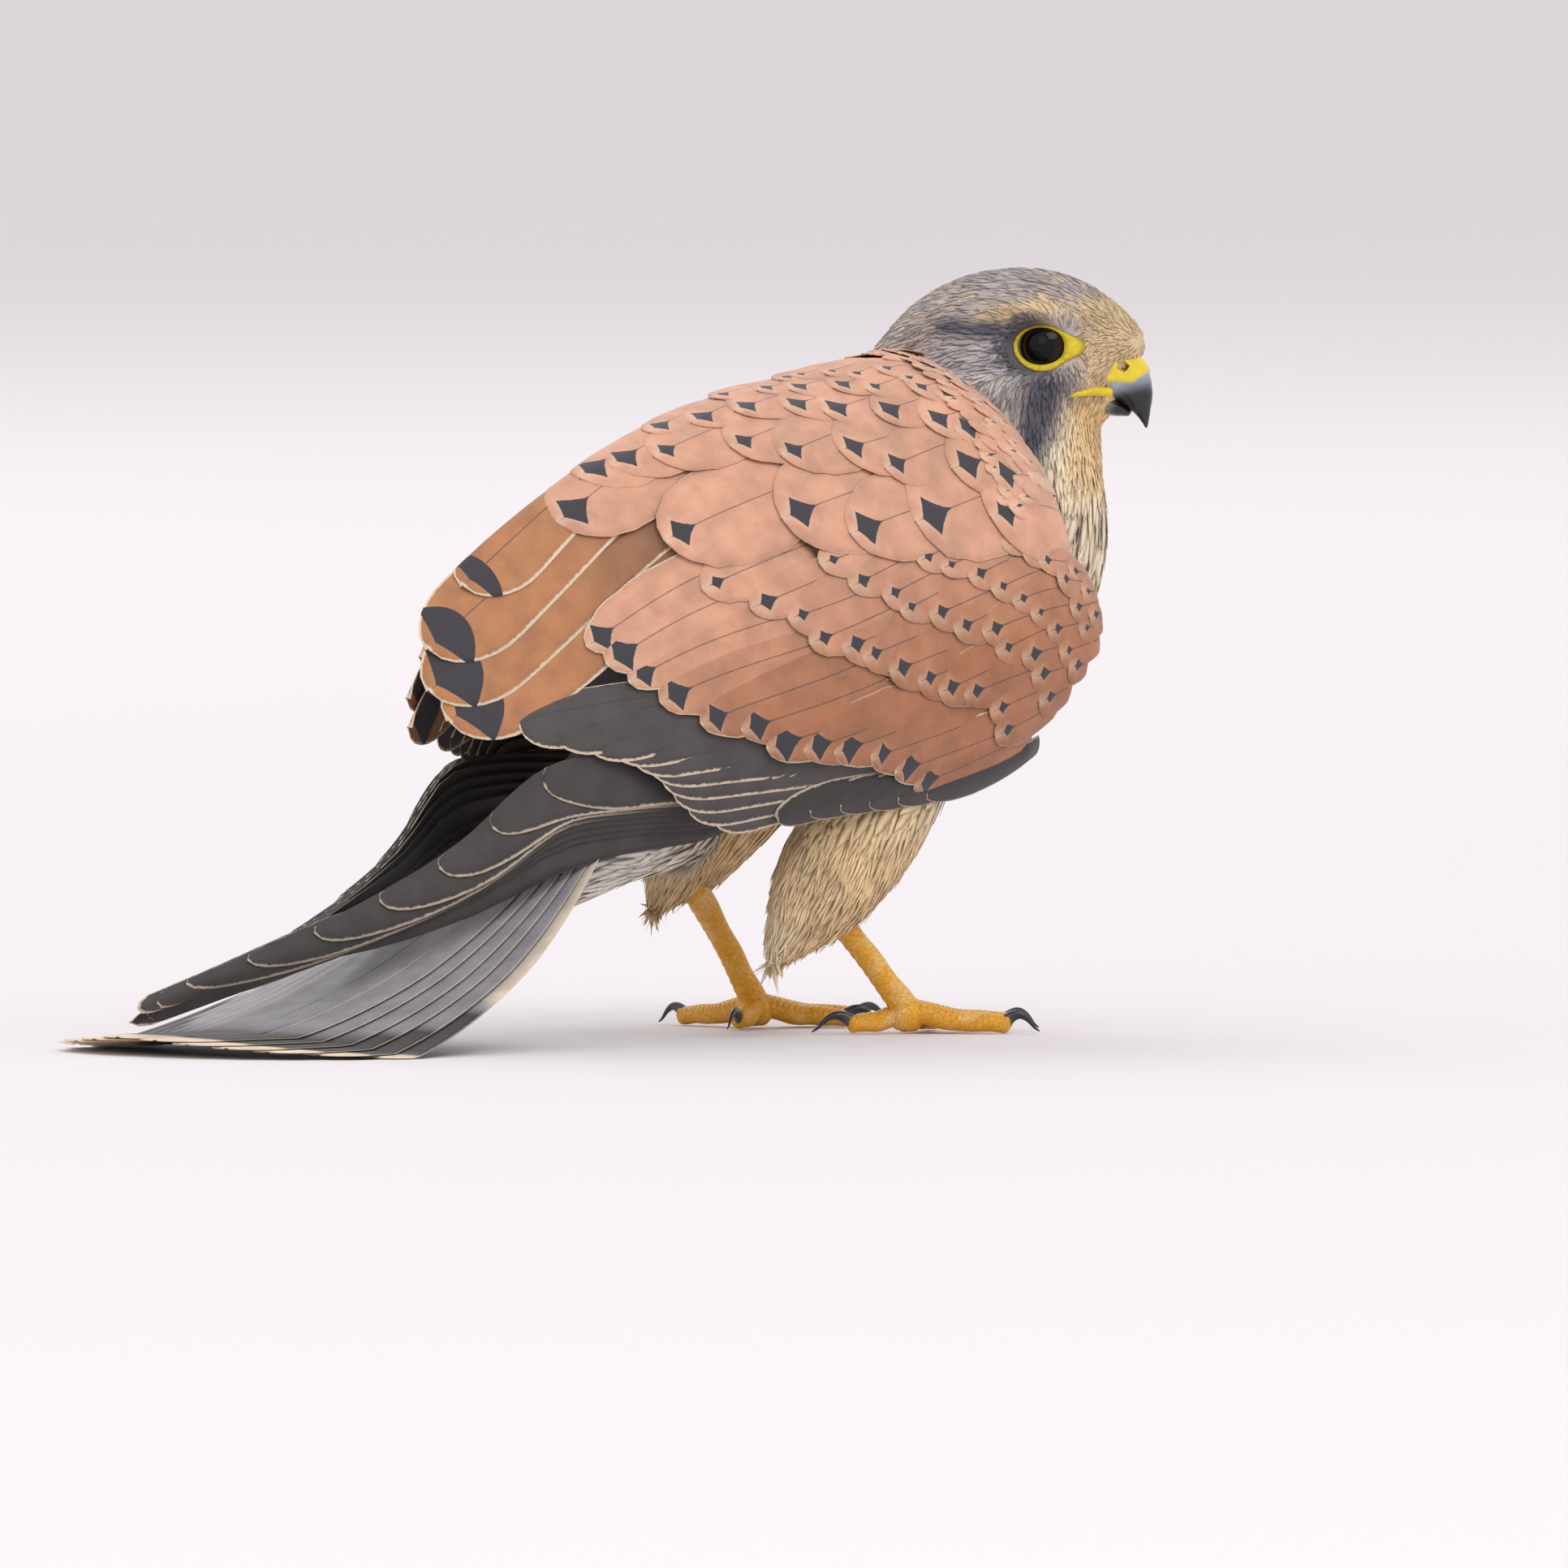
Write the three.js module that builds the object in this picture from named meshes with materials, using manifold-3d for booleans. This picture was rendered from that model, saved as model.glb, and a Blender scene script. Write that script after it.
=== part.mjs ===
// A male common kestrel, Falco tinnunculus, standing with folded wings and a fanned tail, its head turned
// to its right. Millimetres. The body faces +X, its left side is +Y, +Z is up and the floor is Z = 0.
import * as THREE from "three";
import { mergeVertices } from "three/addons/utils/BufferGeometryUtils.js";
import Module from "manifold-3d";

const wasm = await Module();
wasm.setup();

// Driving dimensions
const GAP = 0.3;
const HEAD_YAW = -58;
const HEAD_CENTRE = [49.5, -5, 150.5];
const EYE_RADIUS = 6.6;
const EYE_PLACE = [10.9, 8.9, 1.1];
const EYE_OPENING = [5.3, 4.2];
const LID_THICKNESS = 0.9;
const TARSUS_RADIUS = 2.8;
const TOE_RADIUS = 2.4;
const STANCE_HALF_WIDTH = 23;
const TAIL_LENGTH = 166;
const TAIL_ROOT = [-64, 0, 67];
const TAIL_PITCH_ROOT = 50;
const TAIL_PITCH_TIP = 3;
const TAIL_SPREAD = 15;
const VANE_THICKNESS = 0.55;
// From one vane of the tail or the hand to the next one over it
const LAYER = 0.85;
// How far the arm of the wing stays below its outer vanes
const CORE_DEPTH = 1.6;
const BLADE_BULGE = 1.2;
const LEFT_WING_FORWARD = 5;
const LEFT_WING_PITCH = 0.8;

// The trunk's centre line from vent to nape: x, y, z, half width, reach to the back, reach to the belly
const TRUNK = [
  [-74, 0, 68, 8, 10, 7],
  [-58, 0, 74, 17, 30, 19],
  [-35, 0, 80, 27, 46, 34],
  [-8, 0, 88, 32, 52, 45],
  [20, 0, 98, 34, 50, 49],
  [40, 0, 112, 32, 46, 38],
  [47, -1, 128, 28, 43, 26],
  [48, -3, 142, 23, 39, 22],
  [48, -4, 151, 18, 36, 15],
  [44, -4, 160, 11, 22, 8],
];

// The head in its own frame: forward, crown height, throat height, half width
const HEAD = [
  [-31, 0, -12, 5],
  [-22, 9.5, -18, 12.5],
  [-12, 15.3, -21, 17],
  [0, 17.9, -21, 18.6],
  [10, 17.2, -19.5, 17.2],
  [18, 14.4, -17.5, 13.4],
  [22, 11.8, -15, 10.2],
  [25.5, 9.2, -10.5, 7.6],
  [28.5, 6.3, -4, 5.4],
  [30.4, 3.6, -0.5, 3],
];

// Each bill half: forward, height, half width, reach up, reach down
const BILL_UPPER = [
  [18, -4.6, 9.3, 5.9, 5.1],
  [23, -5.4, 7.6, 6.4, 4.6],
  [26.6, -7.6, 5.6, 6.2, 4.3],
  [29, -10.6, 3.6, 4.3, 3.1],
  [30.4, -13.6, 1.9, 2.1, 1.6],
  [31.1, -15.8, 0.9, 0.9, 0.7],
  [31.4, -17.1, 0.3, 0.25, 0.25],
];
const BILL_LOWER = [
  [15, -11.8, 6.2, 3, 2.4],
  [21, -12, 5, 2.8, 2.4],
  [25, -13, 3.4, 2, 1.7],
  [27.4, -13.8, 1.6, 1, 0.9],
];

// The folded wing's outer surface as sections: x, top, fall of the first handle, its reach out, reach and
// height of the second handle, tuck of the lower edge, height of the lower edge
const CLOAK = [
  [-130, 91, 18, 6, 14, 52, 18, 27],
  [-100, 110, 16, 12, 26, 60, 28, 33.5],
  [-70, 127, 8, 22, 44, 72, 32, 39.7],
  [-40, 139, 5, 34, 60, 78, 36, 48.3],
  [-10, 146, 4, 37, 64, 88, 38, 54],
  [15, 151, 5, 38, 68, 96, 40, 60],
  [36, 146, 6, 36, 64, 92, 40, 68],
];
// Where the arm of the wing starts and stops on that surface: share of the section, x
const WING_FRONT = [
  [0, 2], [0.2, 6], [0.4, 12], [0.54, 19], [0.6, 27], [0.66, 34], [0.77, 36], [0.85, 31], [0.93, 24], [1, 15],
];
const WING_BACK = [[0, -92], [0.3, -84], [0.5, -74], [0.7, -62], [0.9, -47], [1, -40]];
// The blade of the primaries: x, then y and z of its lower edge and of the line of its tips
const BLADE = [
  [-213, -3, 8.6, -3, 12],
  [-183, -5, 15.3, -5, 20.5],
  [-155, -9, 21, -8.5, 30],
  [-126, -18, 29.5, -14, 44],
  [-105, -25, 38.5, -20, 60],
  [-85, -30, 43, -30, 63],
  [-61, -33, 43, -37, 63],
  [-40, -36, 48, -42, 62],
  [-20, -39, 52, -43, 62],
];
const PRIMARY_TIPS = [-112, -126, -143, -160, -181, -201, -212];
// Where the vanes bend, alike on all that lie over one another
const PRIMARY_STATIONS = [-65, -100, -140, -180];
const TAIL_STATIONS = [30, 62, 94, 126];

const rad = THREE.MathUtils.degToRad;
const lerp = THREE.MathUtils.lerp;
const vec = (x, y, z) => new THREE.Vector3(x, y, z);

// A seeded draw, so that like pieces differ a little
let seed = 7;
function draw() {
  seed = (seed * 16807) % 2147483647;
  return seed / 2147483647;
}

// A smooth curve through the rows of a table, read at a value of its first column
function along(table, at) {
  const last = table.length - 1;
  let i = 0;
  while (i < last - 1 && at > table[i + 1][0]) i += 1;
  const step = table[i + 1][0] - table[i][0];
  const t = (at - table[i][0]) / step;
  const slope = (k, j) => {
    const a = Math.max(0, k - 1);
    const b = Math.min(last, k + 1);
    return (table[b][j] - table[a][j]) / (table[b][0] - table[a][0]);
  };
  const value = (j) => {
    const from = table[i][j] * (2 * t ** 3 - 3 * t ** 2 + 1) + table[i + 1][j] * (3 * t ** 2 - 2 * t ** 3);
    return from + step * (slope(i, j) * (t ** 3 - 2 * t ** 2 + t) + slope(i + 1, j) * (t ** 3 - t ** 2));
  };
  return table[0].slice(1).map((_, j) => value(j + 1));
}

// A closed body from points and triangles, turned so that its faces point out
function solid(points, triangles) {
  let volume = 0;
  for (const [a, b, c] of triangles) {
    volume += points[a].dot(points[b].clone().cross(points[c]));
  }
  const faces = volume < 0 ? triangles.map(([a, b, c]) => [a, c, b]) : triangles;
  const vertProperties = new Float32Array(points.flatMap((p) => [p.x, p.y, p.z]));
  const triVerts = new Uint32Array(faces.flat());
  return new wasm.Manifold(new wasm.Mesh({ numProp: 3, vertProperties, triVerts }));
}

// A closed body through a list of rings, with a point at each end
function loft(rings, start, end) {
  const sides = rings[0].length;
  const points = [...rings.flat(), start, end];
  const triangles = [];
  const first = points.length - 2;
  const last = points.length - 1;
  const base = (rings.length - 1) * sides;
  for (let j = 0; j < sides; j += 1) {
    const next = (j + 1) % sides;
    triangles.push([first, next, j], [last, base + j, base + next]);
    for (let i = 0; i < rings.length - 1; i += 1) {
      const a = i * sides;
      const b = a + sides;
      triangles.push([a + j, a + next, b + next], [a + j, b + next, b + j]);
    }
  }
  return solid(points, triangles);
}

// A thin body between two grids of points, split into triangles alike on both faces
function slab(top, bottom) {
  const rows = top.length;
  const columns = top[0].length;
  const half = rows * columns;
  const points = [...top.flat(), ...bottom.flat()];
  const triangles = [];
  const at = (i, j) => i * columns + j;
  const quad = (a, b, c, d) => triangles.push([a, b, c], [a, c, d]);
  for (let i = 0; i < rows - 1; i += 1) {
    for (let j = 0; j < columns - 1; j += 1) {
      triangles.push([at(i, j), at(i + 1, j), at(i + 1, j + 1)], [at(i, j), at(i + 1, j + 1), at(i, j + 1)]);
      triangles.push([half + at(i, j), half + at(i + 1, j + 1), half + at(i + 1, j)]);
      triangles.push([half + at(i, j), half + at(i, j + 1), half + at(i + 1, j + 1)]);
    }
    quad(at(i + 1, 0), at(i, 0), half + at(i, 0), half + at(i + 1, 0));
    quad(at(i, columns - 1), at(i + 1, columns - 1), half + at(i + 1, columns - 1), half + at(i, columns - 1));
  }
  const end = rows - 1;
  for (let j = 0; j < columns - 1; j += 1) {
    quad(at(0, j), at(0, j + 1), half + at(0, j + 1), half + at(0, j));
    quad(at(end, j + 1), at(end, j), half + at(end, j), half + at(end, j + 1));
  }
  return solid(points, triangles);
}

const join = (bodies) => wasm.Manifold.union(bodies);
const largest = (body) => body.decompose().sort((a, b) => b.volume() - a.volume())[0];

// A tube of changing section along rows of x, y, z, half width, reach up and reach down
function tube(rows, ringCount, sides, grow = 0, sideways = vec(0, 1, 0)) {
  const table = rows.map((row, i) => [i, ...row]);
  const last = rows.length - 1;
  const rings = [];
  const ends = [];
  for (let i = 0; i <= ringCount; i += 1) {
    const t = (last * i) / ringCount;
    const [x, y, z, half, up, down] = along(table, t);
    const [x0, y0, z0] = along(table, Math.max(0, t - 0.02));
    const [x1, y1, z1] = along(table, Math.min(last, t + 0.02));
    const ahead = vec(x1 - x0, y1 - y0, z1 - z0).normalize();
    const side = sideways.clone().addScaledVector(ahead, -sideways.dot(ahead)).normalize();
    const upward = ahead.clone().cross(side);
    const centre = vec(x, y, z);
    const ring = [];
    for (let j = 0; j < sides; j += 1) {
      const angle = (2 * Math.PI * j) / sides;
      const reach = Math.sin(angle) > 0 ? up : down;
      const point = centre.clone().addScaledVector(side, Math.cos(angle) * (half + grow));
      ring.push(point.addScaledVector(upward, Math.sin(angle) * (reach + grow)));
    }
    rings.push(ring);
    const cap = Math.min(half, up) * 0.3 + grow;
    if (i === 0) ends.push(centre.clone().addScaledVector(ahead, -cap));
    if (i === ringCount) ends.push(centre.clone().addScaledVector(ahead, cap));
  }
  return loft(rings, ends[0], ends[1]);
}

const round = (points, radii) => points.map((p, i) => [...p, radii[i], radii[i], radii[i]]);

function ball(centre, radius, detail) {
  const shape = new THREE.IcosahedronGeometry(1, detail);
  shape.deleteAttribute("normal");
  shape.deleteAttribute("uv");
  const merged = mergeVertices(shape);
  const place = merged.getAttribute("position");
  const points = [];
  for (let i = 0; i < place.count; i += 1) {
    const p = vec(place.getX(i), place.getY(i), place.getZ(i));
    points.push(vec(centre[0] + p.x * radius[0], centre[1] + p.y * radius[1], centre[2] + p.z * radius[2]));
  }
  const index = [...merged.getIndex().array];
  const triangles = [];
  for (let i = 0; i < index.length; i += 3) triangles.push(index.slice(i, i + 3));
  return solid(points, triangles);
}

// Head

// From the head's own frame, forward, to its left and up, to the body's frame
const headPlace = (body) => body.rotate([0, 0, HEAD_YAW]).translate(HEAD_CENTRE);

function headForm(grow) {
  const rings = HEAD.map(([f]) => f);
  const sections = [];
  const count = 14;
  for (let i = 0; i <= count; i += 1) {
    const f = lerp(rings[0], rings[rings.length - 1], i / count);
    const [top, bottom, half] = along(HEAD, f);
    const middle = lerp(bottom, top, 0.52);
    const ring = [];
    for (let j = 0; j < 20; j += 1) {
      const angle = (2 * Math.PI * j) / 20;
      const reach = Math.sin(angle) > 0 ? top - middle : middle - bottom;
      ring.push(vec(f, Math.cos(angle) * (half + grow), middle + Math.sin(angle) * (reach + grow)));
    }
    sections.push(ring);
  }
  return loft(sections, vec(rings[0] - 2 - grow, 0, -5), vec(rings[rings.length - 1] + 1 + grow, 0, -4));
}

const billForm = (rows, grow) =>
  tube(rows.map(([f, z, half, up, down]) => [f, 0, z, half, up, down]), 9, 12, grow);

// The ring of bare skin that frames the eye
function lidRing(side) {
  const [f, s, z] = EYE_PLACE;
  const count = 14;
  const points = [];
  const triangles = [];
  for (let i = 0; i < count; i += 1) {
    const turn = (2 * Math.PI * i) / count;
    for (let j = 0; j < 5; j += 1) {
      const roll = (2 * Math.PI * j) / 5;
      const out = EYE_OPENING[0] + LID_THICKNESS * (0.9 + Math.cos(roll));
      const rise = EYE_OPENING[1] + LID_THICKNESS * (0.9 + Math.cos(roll));
      const depth = s + 5 + LID_THICKNESS * Math.sin(roll);
      points.push(vec(f + Math.cos(turn) * out, side * depth, z + Math.sin(turn) * rise));
      const a = i * 5 + j;
      const b = i * 5 + ((j + 1) % 5);
      const c = (a + 5) % (count * 5);
      const d = (b + 5) % (count * 5);
      triangles.push([a, c, d], [a, d, b]);
    }
  }
  return solid(points, triangles);
}

const eyeBall = (side, grow) =>
  ball([EYE_PLACE[0], side * EYE_PLACE[1], EYE_PLACE[2]], Array(3).fill(EYE_RADIUS + grow), 2);

function buildHead() {
  const upper = billForm(BILL_UPPER, 0);
  const lower = billForm(BILL_LOWER, 0);
  let head = headForm(0);
  for (const side of [-1, 1]) {
    const [f, s, z] = EYE_PLACE;
    const dish = ball([f + 0.5, side * (s + 9.6), z], [8.4, 5.4, 6.8], 1);
    const brow = tube(round(
      [[0, side * 15.6, 6.4], [7, side * 15.4, 8.4], [15, side * 13.2, 7.6], [21, side * 9.2, 4.6]],
      [1.4, 2, 1.9, 1.2],
    ), 5, 8);
    const gape = tube(round(
      [[14, side * 12, -9.4], [18, side * 10, -9.2], [22, side * 7.8, -9.2]],
      [0.8, 1.4, 1.4],
    ), 4, 6);
    head = join([head.subtract(dish), lidRing(side), brow, gape]).subtract(eyeBall(side, GAP));
  }
  const upperBill = [-1, 1].reduce((bill, side) => {
    const hole = tube(round([[26.2, side * 3.4, -3.2], [26.6, side * 6.4, -3.2]], [1, 1.1]), 1, 8);
    const peg = tube(round([[26.3, side * 2.6, -3.2], [26.4, side * 4.7, -3.2]], [0.4, 0.3]), 1, 6);
    return join([bill.subtract(hole), peg]);
  }, upper);
  return {
    head: headPlace(head),
    bill_upper: headPlace(largest(upperBill)),
    bill_lower: headPlace(largest(lower.subtract(billForm(BILL_UPPER, GAP)))),
    eye_right: headPlace(eyeBall(-1, 0)),
    eye_left: headPlace(eyeBall(1, 0)),
  };
}

// Trunk

const trunkForm = (grow) => tube(TRUNK, 16, 20, grow);

const ventForm = (grow) =>
  tube(round([[-48, 0, 52], [-64, 0, 46], [-80, 0, 36], [-90, 0, 29]], [16, 13, 8, 3]), 8, 12, grow);

// The trunk, neck and head are one form with a thin cut at the shoulder and one at the nape
const CUTS = [
  { at: [40, 0, 121], normal: [0.5, 0, 0.866] },
  { at: [46, 0, 140], normal: [0.33, -0.28, 0.9] },
];
function cutSide(body, { at, normal }, above) {
  const n = vec(...normal).normalize();
  const level = n.dot(vec(...at));
  if (above) return body.trimByPlane([n.x, n.y, n.z], level + GAP / 2);
  return body.trimByPlane([-n.x, -n.y, -n.z], -(level - GAP / 2));
}

// Legs

const LEGS = {
  right: {
    side: -1,
    base: [1.5, -STANCE_HALF_WIDTH, 5],
    heel: [-26, -22, 33],
    toes: { inner: 30, middle: -8, outer: -45, back: 152 },
    thigh: [
      [4, -20, 66, 15], [-10, -24, 50, 14.5], [-24, -25, 36, 13], [-33, -24.5, 26, 8.5], [-41, -24, 17, 2],
    ],
    cuff: [[-13, -24, 46, 10], [-18, -24, 34, 7], [-19.5, -23.5, 27, 4]],
  },
  left: {
    side: 1,
    base: [-1.5, STANCE_HALF_WIDTH, 5],
    heel: [-23, 22, 34],
    toes: { inner: -40, middle: -10, outer: 95, back: -150 },
    thigh: [[4, 20, 66, 15], [-10, 23, 52, 14], [-20, 24, 42, 11.5], [-27, 23.5, 34, 7], [-33, 23, 27, 2]],
    cuff: [[-8, 23, 48, 9], [-13, 23, 40, 7], [-17, 23, 34, 4]],
  },
};
const TOE_LENGTHS = { inner: 20, middle: 27, outer: 22, back: 13 };
const CLAW_LENGTHS = { inner: 10, middle: 10.5, outer: 9, back: 11 };

function thighForm({ thigh, cuff }, grow) {
  const rows = (list) => list.map(([x, y, z, r]) => [x, y, z, r * 0.85, r, r]);
  return join([tube(rows(thigh), 7, 12, grow), tube(rows(cuff), 4, 10, grow)]);
}

function tarsusForm({ base, heel }, grow) {
  const middle = [lerp(base[0], heel[0], 0.5) + 1, base[1], lerp(base[2], heel[2], 0.5) - 0.6];
  const rows = round([base, middle, heel], [TARSUS_RADIUS * 1.1, TARSUS_RADIUS * 0.95, TARSUS_RADIUS * 1.15]);
  return tube(rows, 6, 10, grow);
}

const toeDirection = (degrees) => vec(Math.cos(rad(degrees)), Math.sin(rad(degrees)), 0);

// A toe rises a little from the ankle, arches over its pads and comes down at its claw
function toeForm(base, degrees, length, bend) {
  const ahead = toeDirection(degrees);
  const side = vec(-ahead.y, ahead.x, 0);
  const rows = [];
  const steps = 5;
  for (let i = 0; i <= steps; i += 1) {
    const t = i / steps;
    const pad = 1 + 0.1 * Math.cos(t * Math.PI * 2 * (length > 18 ? 3 : 2));
    const radius = TOE_RADIUS * lerp(1.12, 0.8, t) * pad;
    const height = lerp(5.2, TOE_RADIUS * 0.6, Math.min(1, t * 2.2)) + Math.sin(Math.PI * t) * 0.7;
    const place = vec(base[0], base[1], 0).addScaledVector(ahead, t * length);
    place.addScaledVector(side, bend * Math.sin(Math.PI * t));
    rows.push([place.x, place.y, height, radius, radius, radius]);
  }
  return tube(rows, 6, 7, 0, side);
}

// A claw leaves the toe's end face, arches up and comes down to a point just above the floor
function clawForm(base, degrees, reach, length) {
  const ahead = toeDirection(degrees);
  const side = vec(-ahead.y, ahead.x, 0);
  const start = vec(base[0], base[1], 0).addScaledVector(ahead, reach + GAP);
  const rows = [];
  for (let i = 0; i <= 5; i += 1) {
    const t = i / 5;
    const radius = lerp(1.6, 0.25, t ** 0.85);
    const place = start.clone().addScaledVector(ahead, length * (0.9 * t - 0.05 * t * t));
    const height = 2.2 + 1.9 * Math.sin(Math.PI * Math.min(1, t * 1.1)) - 1.5 * t ** 2;
    rows.push([place.x, place.y, Math.max(0.35, height), radius * 0.8, radius, radius]);
  }
  return tube(rows, 4, 6, 0, side);
}

function buildLeg(name, flesh) {
  const leg = LEGS[name];
  const thigh = largest(thighForm(leg, 0).subtract(flesh));
  const shank = largest(tarsusForm(leg, 0).subtract(thighForm(leg, GAP)).subtract(flesh));
  const split = leg.base[2] + 3.4;
  const parts = { [`thigh_${name}`]: thigh };
  parts[`tarsus_${name}`] = largest(shank.trimByPlane([0, 0, 1], split + GAP));
  const toes = [tarsusForm(leg, 0.15).trimByPlane([0, 0, -1], -split)];
  toes.push(ball([leg.base[0] - 1, leg.base[1], 3.6], [4.6, 4.2, 3.8], 1));
  for (const [toe, degrees] of Object.entries(leg.toes)) {
    const length = TOE_LENGTHS[toe];
    const ahead = toeDirection(degrees);
    const end = vec(leg.base[0], leg.base[1], 0).addScaledVector(ahead, length);
    const long = toeForm(leg.base, degrees, length + 3, toe === "back" ? 0 : 0.6 * leg.side);
    toes.push(long.trimByPlane([-ahead.x, -ahead.y, 0], -ahead.dot(end)));
    const claw = clawForm(leg.base, degrees, length - 0.2, CLAW_LENGTHS[toe]);
    const clear = claw.trimByPlane([ahead.x, ahead.y, 0], ahead.dot(end) + GAP);
    parts[`claw_${toe}_${name}`] = largest(clear.trimByPlane([0, 0, 1], 0.02));
  }
  parts[`foot_${name}`] = largest(join(toes).trimByPlane([0, 0, 1], 0));
  return parts;
}

// Wings

// A point on the folded wing's outer surface; q runs from the back's middle to the wing's lower edge
function cloak(x, q) {
  const [top, fall, reach, reach2, height2, tuck, bottom] = along(CLOAK, x);
  const u = 1 - q;
  const y = 3 * u * u * q * reach + 3 * u * q * q * reach2 + q ** 3 * tuck;
  const z = u ** 3 * top + 3 * u * u * q * (top - fall) + 3 * u * q * q * height2 + q ** 3 * bottom;
  return vec(x, -y, z);
}

// A point on the blade of the primaries; q runs from its lower edge to the line of its tips
function blade(x, q) {
  const [y0, z0, y1, z1] = along(BLADE, x);
  const bulge = BLADE_BULGE * Math.sin(Math.PI * THREE.MathUtils.clamp(q, 0, 1));
  return vec(x, lerp(y0, y1, q) - bulge, lerp(z0, z1, q));
}

// The two tangents and the outward normal of such a surface
function frameAt(surface, x, q, outward) {
  const alongX = surface(x + 0.5, q).sub(surface(x - 0.5, q));
  const acrossQ = surface(x, q + 0.01).sub(surface(x, q - 0.01)).multiplyScalar(50);
  const normal = alongX.clone().cross(acrossQ).normalize();
  if (normal.dot(outward) < 0) normal.negate();
  return { alongX, acrossQ, normal };
}

const OUTWARD = vec(0, -1, 0.6);

// How far x and q change over one millimetre across a vane
function stepAcross(across, alongX, acrossQ) {
  const mixed = alongX.dot(acrossQ);
  const determinant = alongX.dot(alongX) * acrossQ.dot(acrossQ) - mixed ** 2;
  const dx = (across.dot(alongX) * acrossQ.dot(acrossQ) - across.dot(acrossQ) * mixed) / determinant;
  const dq = (across.dot(acrossQ) * alongX.dot(alongX) - across.dot(alongX) * mixed) / determinant;
  return { dx, dq };
}

// A vane laid on a surface from its root to its tip, given as pairs of x and q. It starts sunk below the
// surface, rises to its tip, and one edge stands higher than the other so that neighbours overlap.
function vane(surface, root, tip, { width, sink, lift, rows, roll = 0.45, point = 0.5, stations }) {
  const top = [];
  const bottom = [];
  for (let i = 0; i <= rows; i += 1) {
    const t = stations ? stations(i) : i / rows;
    const x = lerp(root[0], tip[0], t);
    const q = lerp(root[1], tip[1], t);
    const { alongX, acrossQ, normal } = frameAt(surface, x, q, OUTWARD);
    const run = alongX.clone().multiplyScalar(tip[0] - root[0]).addScaledVector(acrossQ, tip[1] - root[1]);
    const across = normal.clone().cross(run).normalize();
    const taper = Math.max(0.3, Math.sqrt(Math.max(0, 1 - ((t - point) / (1.03 - point)) ** 2)));
    const half = 0.5 * width * (t > point ? taper : lerp(0.7, 1, t / point));
    const { dx, dq } = stepAcross(across, alongX, acrossQ);
    const height = lerp(-sink, lift, t);
    const above = [];
    const below = [];
    for (const share of [-1, 1]) {
      const q2 = THREE.MathUtils.clamp(q + dq * half * share, -0.06, 1.04);
      const place = surface(x + dx * half * share, q2);
      const middle = height + share * roll;
      above.push(place.clone().addScaledVector(normal, middle + VANE_THICKNESS / 2));
      below.push(place.clone().addScaledVector(normal, middle - VANE_THICKNESS / 2));
    }
    top.push(above);
    bottom.push(below);
  }
  return slab(top, bottom);
}

// The fleshy arm and the closed base of the wing, from the wing's surface inward
function wingCore() {
  const top = [];
  const bottom = [];
  const lengthwise = 7;
  const across = 9;
  for (let i = 0; i <= lengthwise; i += 1) {
    const outer = [];
    const inner = [];
    for (let j = 0; j <= across; j += 1) {
      const q = lerp(-0.03, 1, j / across);
      const [front] = along(WING_FRONT, Math.max(0, q));
      const [back] = along(WING_BACK, Math.max(0, q));
      const t = i / lengthwise;
      const x = lerp(back, front, t);
      const { normal } = frameAt(cloak, x, q, OUTWARD);
      const rounding = 7 * (1 - Math.sqrt(1 - Math.max(0, (t - 0.86) / 0.14) ** 2));
      const thickness = lerp(3.4, 18, THREE.MathUtils.smoothstep(x, -95, -30));
      const place = cloak(x, q);
      outer.push(place.clone().addScaledVector(normal, -Math.min(rounding + CORE_DEPTH, thickness - 1)));
      inner.push(place.clone().addScaledVector(normal, -thickness));
    }
    top.push(outer);
    bottom.push(inner);
  }
  return slab(top, bottom);
}

// Where each tier's tips lie: x and q along the tier, then how its vanes are made
const TIERS = [
  {
    tips: [[-124, 0.05], [-127, 0.24], [-123, 0.4], [-100, 0.6], [-79, 0.83], [-64, 0.9]],
    count: 7, long: 62, width: 28, sink: 3.4, lift: 0.2, rows: 3,
  },
  {
    tips: [[-48, 0.92], [-42, 0.96], [-34, 0.99]],
    count: 2, long: 34, width: 13, sink: 2.4, lift: 0.4, rows: 2,
  },
  {
    tips: [[-88, 0.44], [-83, 0.59], [-57, 0.785], [-26, 0.91], [-4, 0.98]],
    count: 6, long: 27, width: 23, sink: 2.4, lift: 0.8, rows: 2,
  },
  {
    tips: [[-62, 0.42], [-38, 0.645], [-14, 0.78], [8, 0.9]],
    count: 5, long: 22, width: 21, sink: 2.4, lift: 0.8, rows: 2,
  },
  {
    tips: [[-30, 0.48], [-12, 0.6], [6, 0.72], [22, 0.85]],
    count: 3, long: 18, width: 24, sink: 2.4, lift: 0.8, rows: 2,
  },
  {
    tips: [[-92, 0.05], [-68, 0.3], [-48, 0.38], [-16, 0.47], [8, 0.54]],
    count: 4, long: 30, width: 29, sink: 2.4, lift: 0.9, rows: 2,
  },
  {
    tips: [[-71, 0.045], [-46, 0.175], [-21, 0.3], [2, 0.42]],
    count: 4, long: 25, width: 23, sink: 2.4, lift: 0.9, rows: 2,
  },
];

function tierVanes(tier) {
  const table = tier.tips.map((tip, i) => [i, ...tip]);
  const vanes = [];
  for (let i = 0; i < tier.count; i += 1) {
    const [x, q] = along(table, ((table.length - 1) * i) / (tier.count - 1));
    const [limit] = along(WING_FRONT, Math.max(0, q));
    const long = tier.long * (0.94 + 0.12 * draw());
    const root = [Math.min(limit - 3, x + long), Math.max(0, q - 0.012)];
    vanes.push(vane(cloak, root, [x, q], tier));
  }
  return vanes;
}

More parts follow.
